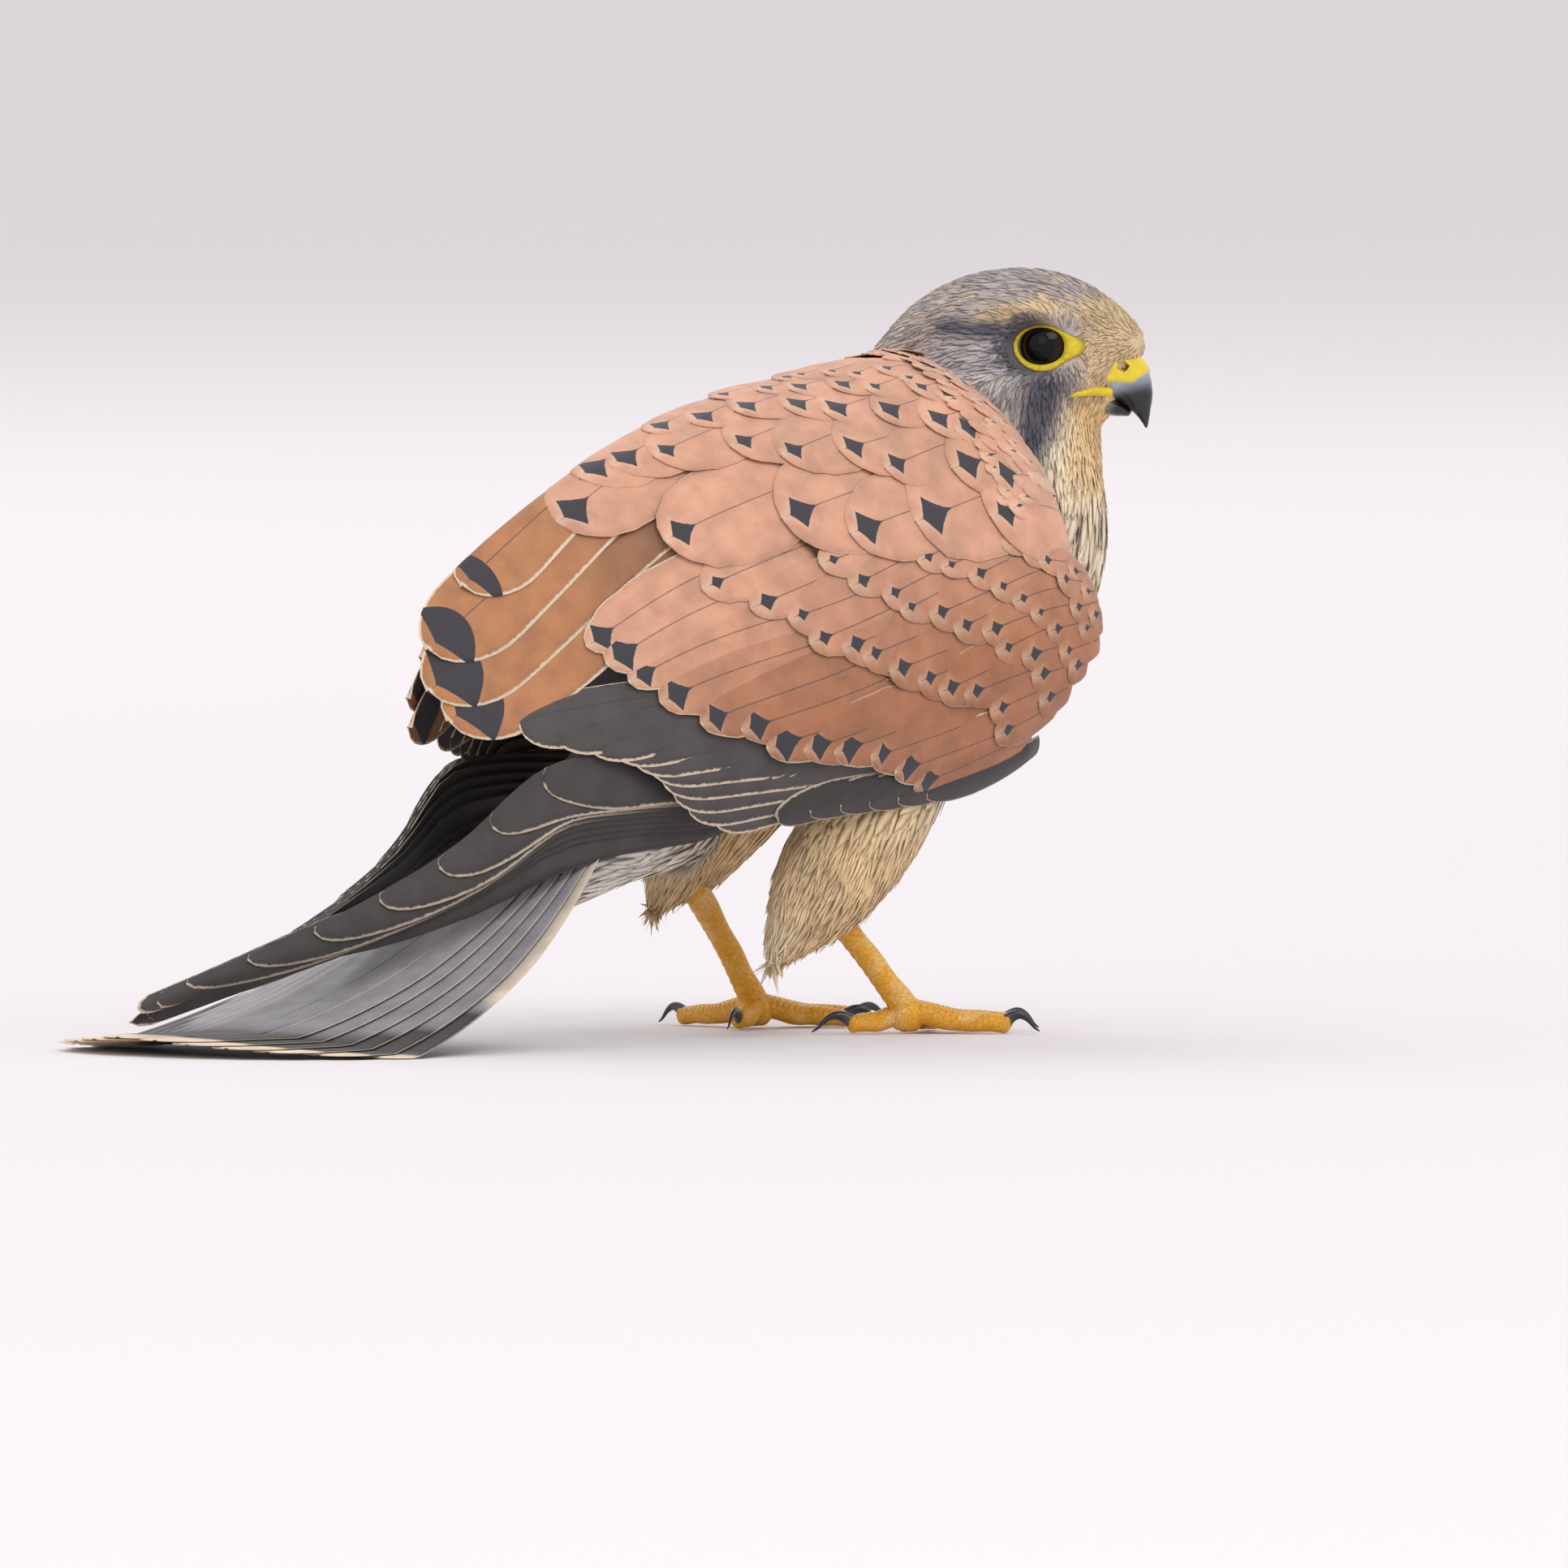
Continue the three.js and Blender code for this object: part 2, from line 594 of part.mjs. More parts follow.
function primaries() {
  const last = PRIMARY_TIPS.length - 1;
  return PRIMARY_TIPS.map((x, i) => {
    const share = i / last;
    const root = [-30, lerp(0.85, 0.25, share)];
    const tip = [x, i >= last - 1 ? 0.5 : 0.88];
    const layer = LAYER * (last - i) - 1;
    const height = lerp(14, 8, share);
    const stops = PRIMARY_STATIONS.filter((stop) => stop > x + 6);
    const ends = [root[0], ...stops, lerp(stops[stops.length - 1], x, 0.6), x];
    return vane(blade, root, tip, {
      width: height * 1.25, sink: -layer, lift: layer, rows: ends.length - 1, point: 0.45, roll: -0.1,
      stations: (k) => (root[0] - ends[k]) / (root[0] - x),
    });
  });
}

function wingForm(side) {
  const right = join([wingCore(), ...TIERS.flatMap(tierVanes), ...primaries()]);
  if (side < 0) return right;
  const shoulder = [20, 0, 90];
  const mirrored = right.mirror([0, 1, 0]).translate(shoulder.map((value) => -value));
  const pitched = mirrored.rotate([0, -LEFT_WING_PITCH, 0]);
  return pitched.translate([shoulder[0] + LEFT_WING_FORWARD, 0, shoulder[2]]);
}

function buildWing(side, flesh) {
  const clear = wingForm(side).subtract(flesh).trimByPlane([0, side, 0], GAP * 0.8);
  return largest(clear);
}

// Tail

// The tail's middle line leaves the rump steeply and eases down to the floor
function tailLine(s) {
  const steps = 24;
  const place = vec(...TAIL_ROOT);
  for (let i = 0; i < steps; i += 1) {
    const at = (s * (i + 0.5)) / steps;
    const pitch = rad(lerp(TAIL_PITCH_ROOT, TAIL_PITCH_TIP, at / TAIL_LENGTH));
    place.x -= (Math.cos(pitch) * s) / steps;
    place.z -= (Math.sin(pitch) * s) / steps;
  }
  return place;
}

const TAIL_FEATHERS = [
  { long: 166, width: 23 },
  { long: 165, width: 22 },
  { long: 163, width: 21 },
  { long: 159, width: 20 },
  { long: 152, width: 19 },
  { long: 142, width: 17 },
];

// A tail feather on its own layer of the fan; the middle pair lies on top, the outer pair on the floor
function tailVane({ long, width }, index, side) {
  const last = TAIL_FEATHERS.length - 1;
  const angle = rad(1.5 + (TAIL_SPREAD * index) / last);
  const layer = LAYER * (last - index) * (side > 0 ? 1.1 : 1);
  const reach = long * Math.cos(angle);
  const top = [];
  const bottom = [];
  for (const s of [0, ...TAIL_STATIONS, reach - 5, reach]) {
    const taper = s > reach - 3 ? 0.45 : 1;
    const half = 0.5 * width * lerp(0.4, 1, Math.min(1, (s * 1.8) / reach)) * taper;
    const middle = 2 + 0.5 * index + s * Math.tan(angle);
    const line = tailLine(s);
    const height = Math.max(line.z + layer, VANE_THICKNESS / 2 + layer * 0.8);
    const edge = (share) => side * (middle + (share * half) / Math.cos(angle));
    const point = (share, up) => vec(line.x, edge(share), height + up);
    top.push([-1, 1].map((share) => point(share, VANE_THICKNESS / 2)));
    bottom.push([-1, 1].map((share) => point(share, -VANE_THICKNESS / 2)));
  }
  return slab(top, bottom);
}

function buildTail(flesh) {
  const root = [0, 6, 14, 24].map((s, i) => {
    const place = tailLine(s);
    return [place.x, 0, place.z + 1.5, [9, 10, 12, 11][i], [4, 4, 3.6, 2.4][i], [6, 5, 3.4, 2][i]];
  });
  const vanes = TAIL_FEATHERS.flatMap((feather, i) => [-1, 1].map((side) => tailVane(feather, i, side)));
  const whole = join([tube(root, 6, 12), ...vanes]).subtract(flesh);
  return largest(whole.trimByPlane([0, 0, 1], 0));
}

// Assembly

const COLOURS = {
  mantle: ["#c08a6c", 0.85],
  head: ["#8f8d97", 0.85],
  breast: ["#e2c9a2", 0.9],
  tail: ["#8a8788", 0.8],
  wing: ["#b5806a", 0.8],
  bill: ["#59606c", 0.35],
  eye: ["#0d0a0a", 0.08],
  leg: ["#d89a2b", 0.55],
  claw: ["#26282c", 0.4],
};

const kestrel = new THREE.Group();
kestrel.name = "kestrel";

function add(name, body, colour) {
  const { vertProperties, triVerts } = body.getMesh();
  const geometry = new THREE.BufferGeometry();
  geometry.setAttribute("position", new THREE.BufferAttribute(new Float32Array(vertProperties), 3));
  geometry.setIndex(new THREE.BufferAttribute(new Uint32Array(triVerts), 1));
  geometry.computeVertexNormals();
  const [color, roughness] = COLOURS[colour];
  const mesh = new THREE.Mesh(geometry, new THREE.MeshStandardMaterial({ color, roughness, metalness: 0 }));
  mesh.name = name;
  kestrel.add(mesh);
}

function assemble() {
  const headParts = buildHead();
  const whole = join([trunkForm(0), ventForm(0)]);
  const fleshGrown = join([trunkForm(GAP), ventForm(GAP)]);
  const upperPart = join([trunkForm(0), headParts.head]);
  const torso = cutSide(whole, CUTS[0], false);
  const neck = cutSide(cutSide(trunkForm(0), CUTS[0], true), CUTS[1], false);
  let head = largest(cutSide(upperPart, CUTS[1], true));
  for (const [side, name] of [[-1, "eye_right"], [1, "eye_left"]]) {
    head = head.subtract(headPlace(eyeBall(side, GAP)));
    add(name, headParts[name], "eye");
  }
  head = head.subtract(headPlace(join([billForm(BILL_LOWER, GAP), billForm(BILL_UPPER, GAP)])));
  const headGrown = headPlace(headForm(GAP));
  add("torso", largest(torso), "mantle");
  add("neck", largest(neck), "head");
  add("head", largest(head), "head");
  add("bill_upper", headParts.bill_upper, "bill");
  add("bill_lower", headParts.bill_lower, "bill");
  const thighs = Object.values(LEGS).map((leg) => thighForm(leg, GAP));
  const wingFlesh = join([fleshGrown, headGrown, ...thighs]);
  const wings = { right: buildWing(-1, wingFlesh), left: buildWing(1, wingFlesh) };
  add("wing_right", wings.right, "wing");
  add("wing_left", wings.left, "wing");
  const tail = buildTail(fleshGrown);
  add("tail", tail, "tail");
  for (const name of ["right", "left"]) {
    const parts = buildLeg(name, fleshGrown);
    for (const [part, body] of Object.entries(parts)) {
      const colour = part.startsWith("claw") ? "claw" : part.startsWith("thigh") ? "breast" : "leg";
      add(part, body, colour);
    }
  }
}

assemble();

// The origin is the middle of the bird's footprint box, on the floor
const extent = new THREE.Box3().setFromObject(kestrel);
const centre = extent.getCenter(vec(0, 0, 0));
kestrel.position.set(-centre.x, -centre.y, -extent.min.z);
kestrel.updateMatrixWorld(true);

export default kestrel;
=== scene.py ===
"""A male common kestrel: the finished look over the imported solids. Lengths are millimetres in the bird's own
frame, +X ahead, +Y to its left, +Z up, and become metres where a mesh is made."""
import math

import bmesh
import bpy
import numpy as np
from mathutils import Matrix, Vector
from mathutils.bvhtree import BVHTree


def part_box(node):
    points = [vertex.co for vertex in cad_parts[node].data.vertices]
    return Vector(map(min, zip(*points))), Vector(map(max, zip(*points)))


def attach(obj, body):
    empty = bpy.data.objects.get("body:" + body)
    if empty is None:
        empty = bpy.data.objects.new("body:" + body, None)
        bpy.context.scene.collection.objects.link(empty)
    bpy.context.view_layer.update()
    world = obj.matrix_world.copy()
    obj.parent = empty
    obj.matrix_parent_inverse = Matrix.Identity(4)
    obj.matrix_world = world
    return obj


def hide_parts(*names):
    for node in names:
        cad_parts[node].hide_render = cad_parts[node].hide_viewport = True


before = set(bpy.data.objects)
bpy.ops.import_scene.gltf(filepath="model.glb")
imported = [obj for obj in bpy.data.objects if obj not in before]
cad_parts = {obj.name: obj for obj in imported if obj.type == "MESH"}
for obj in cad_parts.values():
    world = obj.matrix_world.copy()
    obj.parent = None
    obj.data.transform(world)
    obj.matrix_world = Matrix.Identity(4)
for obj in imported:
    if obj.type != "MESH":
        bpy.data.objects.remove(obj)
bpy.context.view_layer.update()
rng = np.random.default_rng(11)

# Driving dimensions, as in the solids where these have the same form
HEAD_YAW = math.radians(-58)
HEAD_CENTRE = np.array([49.5, -5, 150.5])
EYE_RADIUS = 6.6
EYE_PLACE = np.array([10.9, 8.9, 1.1])
EYE_OPENING = (5.5, 4.3)
TARSUS_RADIUS = 2.8
TOE_RADIUS = 2.4
STANCE_HALF_WIDTH = 23
TAIL_LENGTH = 166
TAIL_ROOT = np.array([-64.0, 0, 67])
TAIL_PITCH = (50, 3)
TAIL_SPREAD = 15
TAIL_LAYER = 0.85
COAT_DEPTH = 1.6
THIGH_COAT_DEPTH = 0.8
SKIN_VOXEL = 1.25
FLOOR_GAP = 0.02

# Feathers and tufts. The density is how many tufts stand side by side in one tuft's mean size.
COAT_DENSITY = 2.8
COAT_CHUNK = 4400
TUFT_STATIONS = 6
TUFT_THICKNESS = 0.16
SMALL_VANE = dict(roll=0.1, thickness=0.12)
PRIMARY_COVERTS = 6
BARB_PITCH = 0.75
BUMP_DEPTH = 0.0003

# The map of a coat piece: cells along each side, their margin, and a tuft's patch
MAP_CELLS = 14
MAP_MARGIN = 0.004
UV_PATCH = 0.003

# The camera's angles in degrees, its distance in metres, and its aim to the right and up in millimetres
VIEW_AZIMUTH = -43
VIEW_ELEVATION = 2
VIEW_DISTANCE = 10.0
VIEW_LENS = 1034.2
VIEW_CENTRE = (-10.63, 54.77)
# Each lamp: name, place in metres, power
LAMPS = [("key", (-0.6, -3.8, 4.2), 78), ("fill", (-4.2, -2.4, 2.4), 20), ("back", (2.0, 4.0, 3.6), 62)]
LAMP_SIZE = 3.0
FLOOR_REACH = 60.0

# The trunk's centre line: x, y, z, half width, reach to the back, reach to the belly
TRUNK = [
    (-74, 0, 68, 8, 10, 7), (-58, 0, 74, 17, 30, 19), (-35, 0, 80, 27, 46, 34), (-8, 0, 88, 32, 52, 45),
    (20, 0, 98, 34, 50, 49), (40, 0, 112, 32, 46, 38), (47, -1, 128, 28, 43, 26), (48, -3, 142, 23, 39, 22),
    (48, -4, 151, 18, 36, 15), (44, -4, 160, 11, 22, 8),
]
# Round forms: x, y, z and radius along the down under the tail, the brow and the corner of the mouth
VENT = [(-48, 0, 52, 16), (-64, 0, 46, 13), (-80, 0, 36, 8), (-90, 0, 29, 3)]
# The head in its own frame: forward, crown height, throat height, half width
HEAD = [
    (-31, 0, -12, 5), (-22, 9.5, -18, 12.5), (-12, 15.3, -21, 17), (0, 17.9, -21, 18.6),
    (10, 17.2, -19.5, 17.2), (18, 14.4, -17.5, 13.4), (22, 11.8, -15, 10.2), (25.5, 9.2, -10.5, 7.6),
    (28.5, 6.3, -4, 5.4), (30.4, 3.6, -0.5, 3),
]
BROW = [(0, 15.6, 6.4, 1.4), (7, 15.4, 8.4, 2), (15, 13.2, 7.6, 1.9), (21, 9.2, 4.6, 1.2)]
GAPE = [(15, 12.4, -10.3, 0.4), (18.5, 10.7, -9.4, 0.75), (22, 8.8, -8.9, 1.0), (25, 6.9, -9.2, 1.0)]
# Each bill half: forward, height, half width, reach up, reach down
BILL_UPPER = [
    (18, -4.6, 9.3, 5.9, 5.1), (23, -5.4, 7.6, 6.4, 4.6), (26.6, -7.6, 5.6, 6.2, 4.3),
    (29, -10.6, 3.6, 4.3, 3.1), (30.4, -13.6, 1.9, 2.1, 1.6), (31.1, -15.8, 0.9, 0.9, 0.7),
    (31.4, -17.1, 0.3, 0.25, 0.25),
]
BILL_LOWER = [
    (15, -11.8, 6.2, 3, 2.4), (21, -12, 5, 2.8, 2.4), (25, -13, 3.4, 2, 1.7), (27.4, -13.8, 1.6, 1, 0.9),
]
NOSTRIL = (27.5, 4.6, -3.6)
# The oval of the skin's dish for each eye: how far in front of the eye and outside it, and its radii
EYE_DISH = np.array([0.5, 9.6])
EYE_DISH_RADII = np.array([8.8, 6.9, 7.0])

# The folded wing's outer surface: x, top, fall, reach, second reach and height, tuck, lower edge
CLOAK = [
    (-130, 91, 18, 6, 14, 52, 18, 27), (-100, 110, 16, 12, 26, 60, 28, 33.5),
    (-70, 127, 8, 22, 44, 72, 32, 39.7), (-40, 139, 5, 34, 60, 78, 36, 48.3),
    (-10, 146, 4, 37, 64, 88, 38, 54), (15, 151, 5, 38, 68, 96, 40, 60), (36, 146, 6, 36, 64, 92, 40, 68),
]
# Where the arm of the wing starts and stops: share of the section, x
WING_FRONT = [
    (0, 2), (0.2, 6), (0.4, 12), (0.54, 19), (0.6, 27), (0.66, 34), (0.77, 36), (0.85, 31), (0.93, 24),
    (1, 15),
]
WING_BACK = [(0, -92), (0.3, -84), (0.5, -74), (0.7, -62), (0.9, -47), (1, -40)]
# The blade of the primaries: x, then y and z of its lower edge and of the line of its tips
BLADE = [
    (-213, -3, 8.6, -3, 12), (-183, -5, 15.3, -5, 20.5), (-155, -9, 21, -8.5, 30), (-126, -18, 27.5, -14, 44),
    (-105, -25, 34, -20, 60), (-85, -28, 39, -26, 63), (-61, -30, 42, -30, 63), (-40, -32, 48, -34, 62),
    (-20, -34, 52, -36, 62),
]
PRIMARY_TIPS = [-106, -118, -131, -146, -163, -181, -198, -207, -212]

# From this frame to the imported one: where the right eye's middle is here, and where the solids have it
RIGHT_EYE = Vector((47.73, -18.96, 151.6))
SHIFT = np.array(sum(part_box("eye_right"), Vector()) / 2 * 1000 - RIGHT_EYE)


# Curves, colours and other small help

def lerp(a, b, t):
    return a + (b - a) * t


def smooth(low, high, value):
    t = np.clip((value - low) / (high - low), 0, 1)
    return t * t * (3 - 2 * t)


def unit(vectors):
    """The same directions, each of length one."""
    return vectors / np.maximum(np.linalg.norm(vectors, axis=-1, keepdims=True), 1e-9)


def along(table, at):
    """A smooth curve through the rows of a table, read at values of its first column."""
    table = np.asarray(table, float)
    at = np.asarray(at, float)
    key, value = table[:, 0], table[:, 1:]
    before = np.maximum(np.arange(len(key)) - 1, 0)
    after = np.minimum(np.arange(len(key)) + 1, len(key) - 1)
    slope = (value[after] - value[before]) / (key[after] - key[before])[:, None]
    i = np.clip(np.searchsorted(key, at, side="right") - 1, 0, len(key) - 2)
    step = (key[i + 1] - key[i])[..., None]
    t = (at[..., None] - key[i][..., None]) / step
    base = value[i] * (2 * t**3 - 3 * t**2 + 1) + value[i + 1] * (3 * t**2 - 2 * t**3)
    return base + step * (slope[i] * (t**3 - 2 * t**2 + t) + slope[i + 1] * (t**3 - t**2))


def tone(code):
    """A colour code as linear light."""
    values = np.array([int(code[k:k + 2], 16) for k in (1, 3, 5)]) / 255
    return np.where(values < 0.04045, values / 12.92, ((values + 0.055) / 1.055) ** 2.4)


MANTLE, TERTIAL, SPOT = tone("#d29d80"), tone("#b47b51"), tone("#35333a")
COVERT = tone("#a96f4d")
FRINGE, CREAM, BUFF = tone("#ecd9bd"), tone("#efe0c2"), tone("#e3c48e")
GREY, SLATE, PALE_GREY = tone("#a09ea9"), tone("#4a4954"), tone("#bdbbc3")
WHITE, GOLD, STREAK = tone("#f4efe4"), tone("#e6c898"), tone("#33291f")
LORES, THROAT, CHIN = tone("#d9bf91"), tone("#f3e6c8"), tone("#ecca94")
FLIGHT, TAIL_GREY, BAND = tone("#3f3938"), tone("#8f8d92"), tone("#211f22")
YELLOW, LEG, HORN, HORN_TIP = tone("#e9cf1c"), tone("#e3a528"), tone("#aab3c0"), tone("#17181c")


def blend(low, high, share):
    return low + (high - low) * np.asarray(share)[..., None]


def paint(colour, *layers):
    """A colour with others laid over it, each by its own share."""
    for layer, share in layers:
        colour = blend(colour, layer, share)
    return colour


def rgba(colour, alpha, shape):
    """A colour and its alpha at each place of a grid."""
    return np.concatenate([np.broadcast_to(colour, (*shape, 3)), np.broadcast_to(alpha, (*shape, 1))], -1)


def turns(count):
    return 2 * np.pi * np.arange(count) / count


def to_head(points):
    """Forward, to its left and up, in the head's own frame."""
    d = points - HEAD_CENTRE
    c, s = math.cos(HEAD_YAW), math.sin(HEAD_YAW)
    return np.stack([d[..., 0] * c + d[..., 1] * s, -d[..., 0] * s + d[..., 1] * c, d[..., 2]], -1)


def turn_head(vectors):
    """Directions of the head's own frame, in the bird's."""
    c, s = math.cos(HEAD_YAW), math.sin(HEAD_YAW)
    f, l, z = np.moveaxis(np.asarray(vectors, float), -1, 0)
    return np.stack([f * c - l * s, f * s + l * c, z], -1)


def from_head(points):
    return turn_head(points) + HEAD_CENTRE


# Meshes

def linked(name, data):
    obj = bpy.data.objects.new(name, data)
    bpy.context.scene.collection.objects.link(obj)
    return obj


class Bag:
    """Vertices, faces and what the shaders read, gathered until they become one piece."""

    def __init__(self):
        self.points, self.faces, self.uvs, self.values = [], [], [], {}
        self.count = 0

    def add(self, points, faces, uv, **values):
        points = np.asarray(points, float).reshape(-1, 3)
        self.faces.append(np.asarray(faces, np.int64) + self.count)
        self.uvs.append(np.asarray(uv, float).reshape(-1, 2))
        self.points.append(points)
        for name, value in values.items():
            value = value.reshape(-1, value.shape[-1])
            value = np.broadcast_to(value, (len(points), value.shape[-1]))
            self.values.setdefault(name, []).append(value)
        self.count += len(points)

    def piece(self, name, material, slot, *nodes):
        """One object of all that the bag holds, which stands for the solids named."""
        mesh = bpy.data.meshes.new(name)
        points = (np.concatenate(self.points) + SHIFT) / 1000
        faces = np.concatenate(self.faces)
        mesh.vertices.add(len(points))
        mesh.vertices.foreach_set("co", points.ravel().astype(np.float32))
        mesh.loops.add(faces.size)
        mesh.loops.foreach_set("vertex_index", faces.ravel().astype(np.int32))
        mesh.polygons.add(len(faces))
        mesh.polygons.foreach_set("loop_start", np.arange(0, faces.size, faces.shape[1], dtype=np.int32))
        mesh.update(calc_edges=True)
        mesh.validate()
        for key, parts in self.values.items():
            value = np.concatenate(parts)
            kind, field = ("FLOAT_COLOR", "color") if value.shape[1] == 4 else ("FLOAT_VECTOR", "vector")
            attribute = mesh.attributes.new(key, kind, "POINT")
            attribute.data.foreach_set(field, value.ravel().astype(np.float32))
        corner = np.zeros(len(mesh.loops), np.int32)
        mesh.loops.foreach_get("vertex_index", corner)
        layer = mesh.uv_layers.new(name="OFBake")
        layer.data.foreach_set("uv", np.concatenate(self.uvs)[corner].ravel().astype(np.float32))
        mesh.polygons.foreach_set("use_smooth", [True] * len(mesh.polygons))
        mesh.materials.append(material)
        obj = linked(name, mesh)
        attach(obj, "root")
        if nodes:
            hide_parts(*nodes)
        return obj


def grid_faces(rows, columns, closed=False):
    """Quads over a grid of points, counted row by row."""
    i, j = np.meshgrid(np.arange(rows - 1), np.arange(columns if closed else columns - 1), indexing="ij")
    k = (j + 1) % columns
    low, high = i * columns, (i + 1) * columns
    return np.stack([low + j, low + k, high + k, high + j], -1).reshape(-1, 4)


def leaf_faces(rows, columns):
    """Both faces of a thin leaf: the upper grid, the lower grid and the wall round them."""
    top = grid_faces(rows, columns)
    half = rows * columns
    ring = np.array([
        *range(columns), *(columns * i + columns - 1 for i in range(1, rows)),
        *range(half - 2, half - columns - 1, -1), *(columns * i for i in range(rows - 2, 0, -1))])
    after = np.roll(ring, -1)
    wall = np.stack([after, ring, ring + half, after + half], -1)
    return np.concatenate([top, top[:, ::-1] + half, wall])


def closed_tube(rows, ring_count, sides, grow=0.0, sideways=(0, 1, 0), shape=None):
    """Rings of a tube along rows of x, y, z, half width, reach up and reach down, whose ends run together,
    and the place of each ring, counted in rows."""
    last = len(rows) - 1
    table = [(i, *row) for i, row in enumerate(rows)]
    t = last * np.linspace(0, 1, ring_count + 1)
    at = along(table, t)
    ahead = along(table, np.minimum(t + 0.02, last)) - along(table, np.maximum(t - 0.02, 0))
    ahead = unit(ahead[:, :3])
    sideways = np.asarray(sideways, float)
    side = unit(sideways - (ahead @ sideways)[:, None] * ahead)
    upward = np.cross(ahead, side)
    angle = turns(sides)
    reach = np.where(np.sin(angle) > 0, at[:, 4:5], at[:, 5:6]) + grow
    half = at[:, 3:4] + grow
    if shape is not None:
        factor = shape(t[:, None], angle[None, :])
        reach, half = reach * factor, half * factor
    ring = (at[:, None, :3] + side[:, None] * (np.cos(angle) * half)[..., None]
            + upward[:, None] * (np.sin(angle) * reach)[..., None])
    caps = []
    for end, sign in ((0, -1), (-1, 1)):
        middle = ring[end].mean(0)
        size = min(rows[end][3], rows[end][4])
        for share, out in ((0.75, 0.28), (0.35, 0.42), (0.02, 0.46)):
            caps.append(middle + (ring[end] - middle) * share + ahead[end] * sign * size * out)
    rings = np.concatenate([np.array(caps[:3])[::-1], ring, np.array(caps[3:])])
    return rings, np.concatenate([[t[0]] * 3, t, [t[-1]] * 3])


def round_rows(rows, mirror=1):
    return [(x, y * mirror, z, r, r, r) for x, y, z, r in rows]


# Shaders

class Value:
    """A number in a material, so that shaders read as plain arithmetic."""

    def __init__(self, graph, socket):
        self.graph, self.socket = graph, socket


ARITHMETIC = dict(add="ADD", sub="SUBTRACT", mul="MULTIPLY", truediv="DIVIDE", pow="POWER")
for symbol, operation in ARITHMETIC.items():
    setattr(Value, f"__{symbol}__", lambda a, b, kind=operation: a.graph.math(kind, a, b))
    setattr(Value, f"__r{symbol}__", lambda a, b, kind=operation: a.graph.math(kind, b, a))


class Graph:
    """A material's nodes, made by short calls."""

    def __init__(self, name):
        self.material = bpy.data.materials.new(name)
        self.material.use_nodes = True
        self.nodes = self.material.node_tree.nodes
        self.links = self.material.node_tree.links
        self.shader = self.nodes["Principled BSDF"]

    def feed(self, socket, value):
        if isinstance(value, Value):
            value = value.socket
        if isinstance(value, bpy.types.NodeSocket):
            self.links.new(value, socket)
        else:
            socket.default_value = value

    def value(self, socket):
        return Value(self, socket)

    def math(self, operation, a, b=0.0, clamp=False):
        made = self.nodes.new("ShaderNodeMath")
        made.operation = operation
        made.use_clamp = clamp
        self.feed(made.inputs[0], a)
        self.feed(made.inputs[1], b)
        return self.value(made.outputs[0])

    def ramp(self, value, low, high, to_low=0.0, to_high=1.0):
        made = self.nodes.new("ShaderNodeMapRange")
        made.interpolation_type = "SMOOTHSTEP"
        for key, number in zip(("Value", "From Min", "From Max", "To Min", "To Max"),
                               (value, low, high, to_low, to_high)):
            self.feed(made.inputs[key], number)
        return self.value(made.outputs[0])

    def mix(self, share, a, b):
        made = self.nodes.new("ShaderNodeMix")
        made.data_type = "RGBA"
        for socket, value in ((0, share), (6, a), (7, b)):
            self.feed(made.inputs[socket], (*value, 1) if isinstance(value, np.ndarray) else value)
        return made.outputs[2]

    def shaded(self, colour, factor):
        made = self.nodes.new("ShaderNodeVectorMath")
        made.operation = "SCALE"
        self.feed(made.inputs[0], colour)
        self.feed(made.inputs["Scale"], factor)
        return made.outputs[0]

    def attribute(self, name):
        made = self.nodes.new("ShaderNodeAttribute")
        made.attribute_name = name
        return made

    def parts(self, name):
        """The three numbers of a vector that the vertices carry."""
        made = self.nodes.new("ShaderNodeSeparateXYZ")
        self.feed(made.inputs[0], self.attribute(name).outputs["Vector"])
        return [self.value(part) for part in made.outputs]

    def noise(self, scale, detail):
        made = self.nodes.new("ShaderNodeTexNoise")
        made.inputs["Scale"].default_value = scale
        made.inputs["Detail"].default_value = detail
        self.feed(made.inputs["Vector"], self.nodes.new("ShaderNodeTexCoord").outputs["Object"])
        return self.value(made.outputs["Fac"])

    def bump(self, height, strength):
        made = self.nodes.new("ShaderNodeBump")
        self.feed(made.inputs["Height"], height)
        made.inputs["Strength"].default_value = strength
        made.inputs["Distance"].default_value = BUMP_DEPTH
        self.feed(self.shader.inputs["Normal"], made.outputs[0])

    def finish(self, colour, roughness, sheen=0.0):
        self.feed(self.shader.inputs["Base Color"], colour)
        self.shader.inputs["Roughness"].default_value = roughness
        self.shader.inputs["Sheen Weight"].default_value = sheen
        return self.material


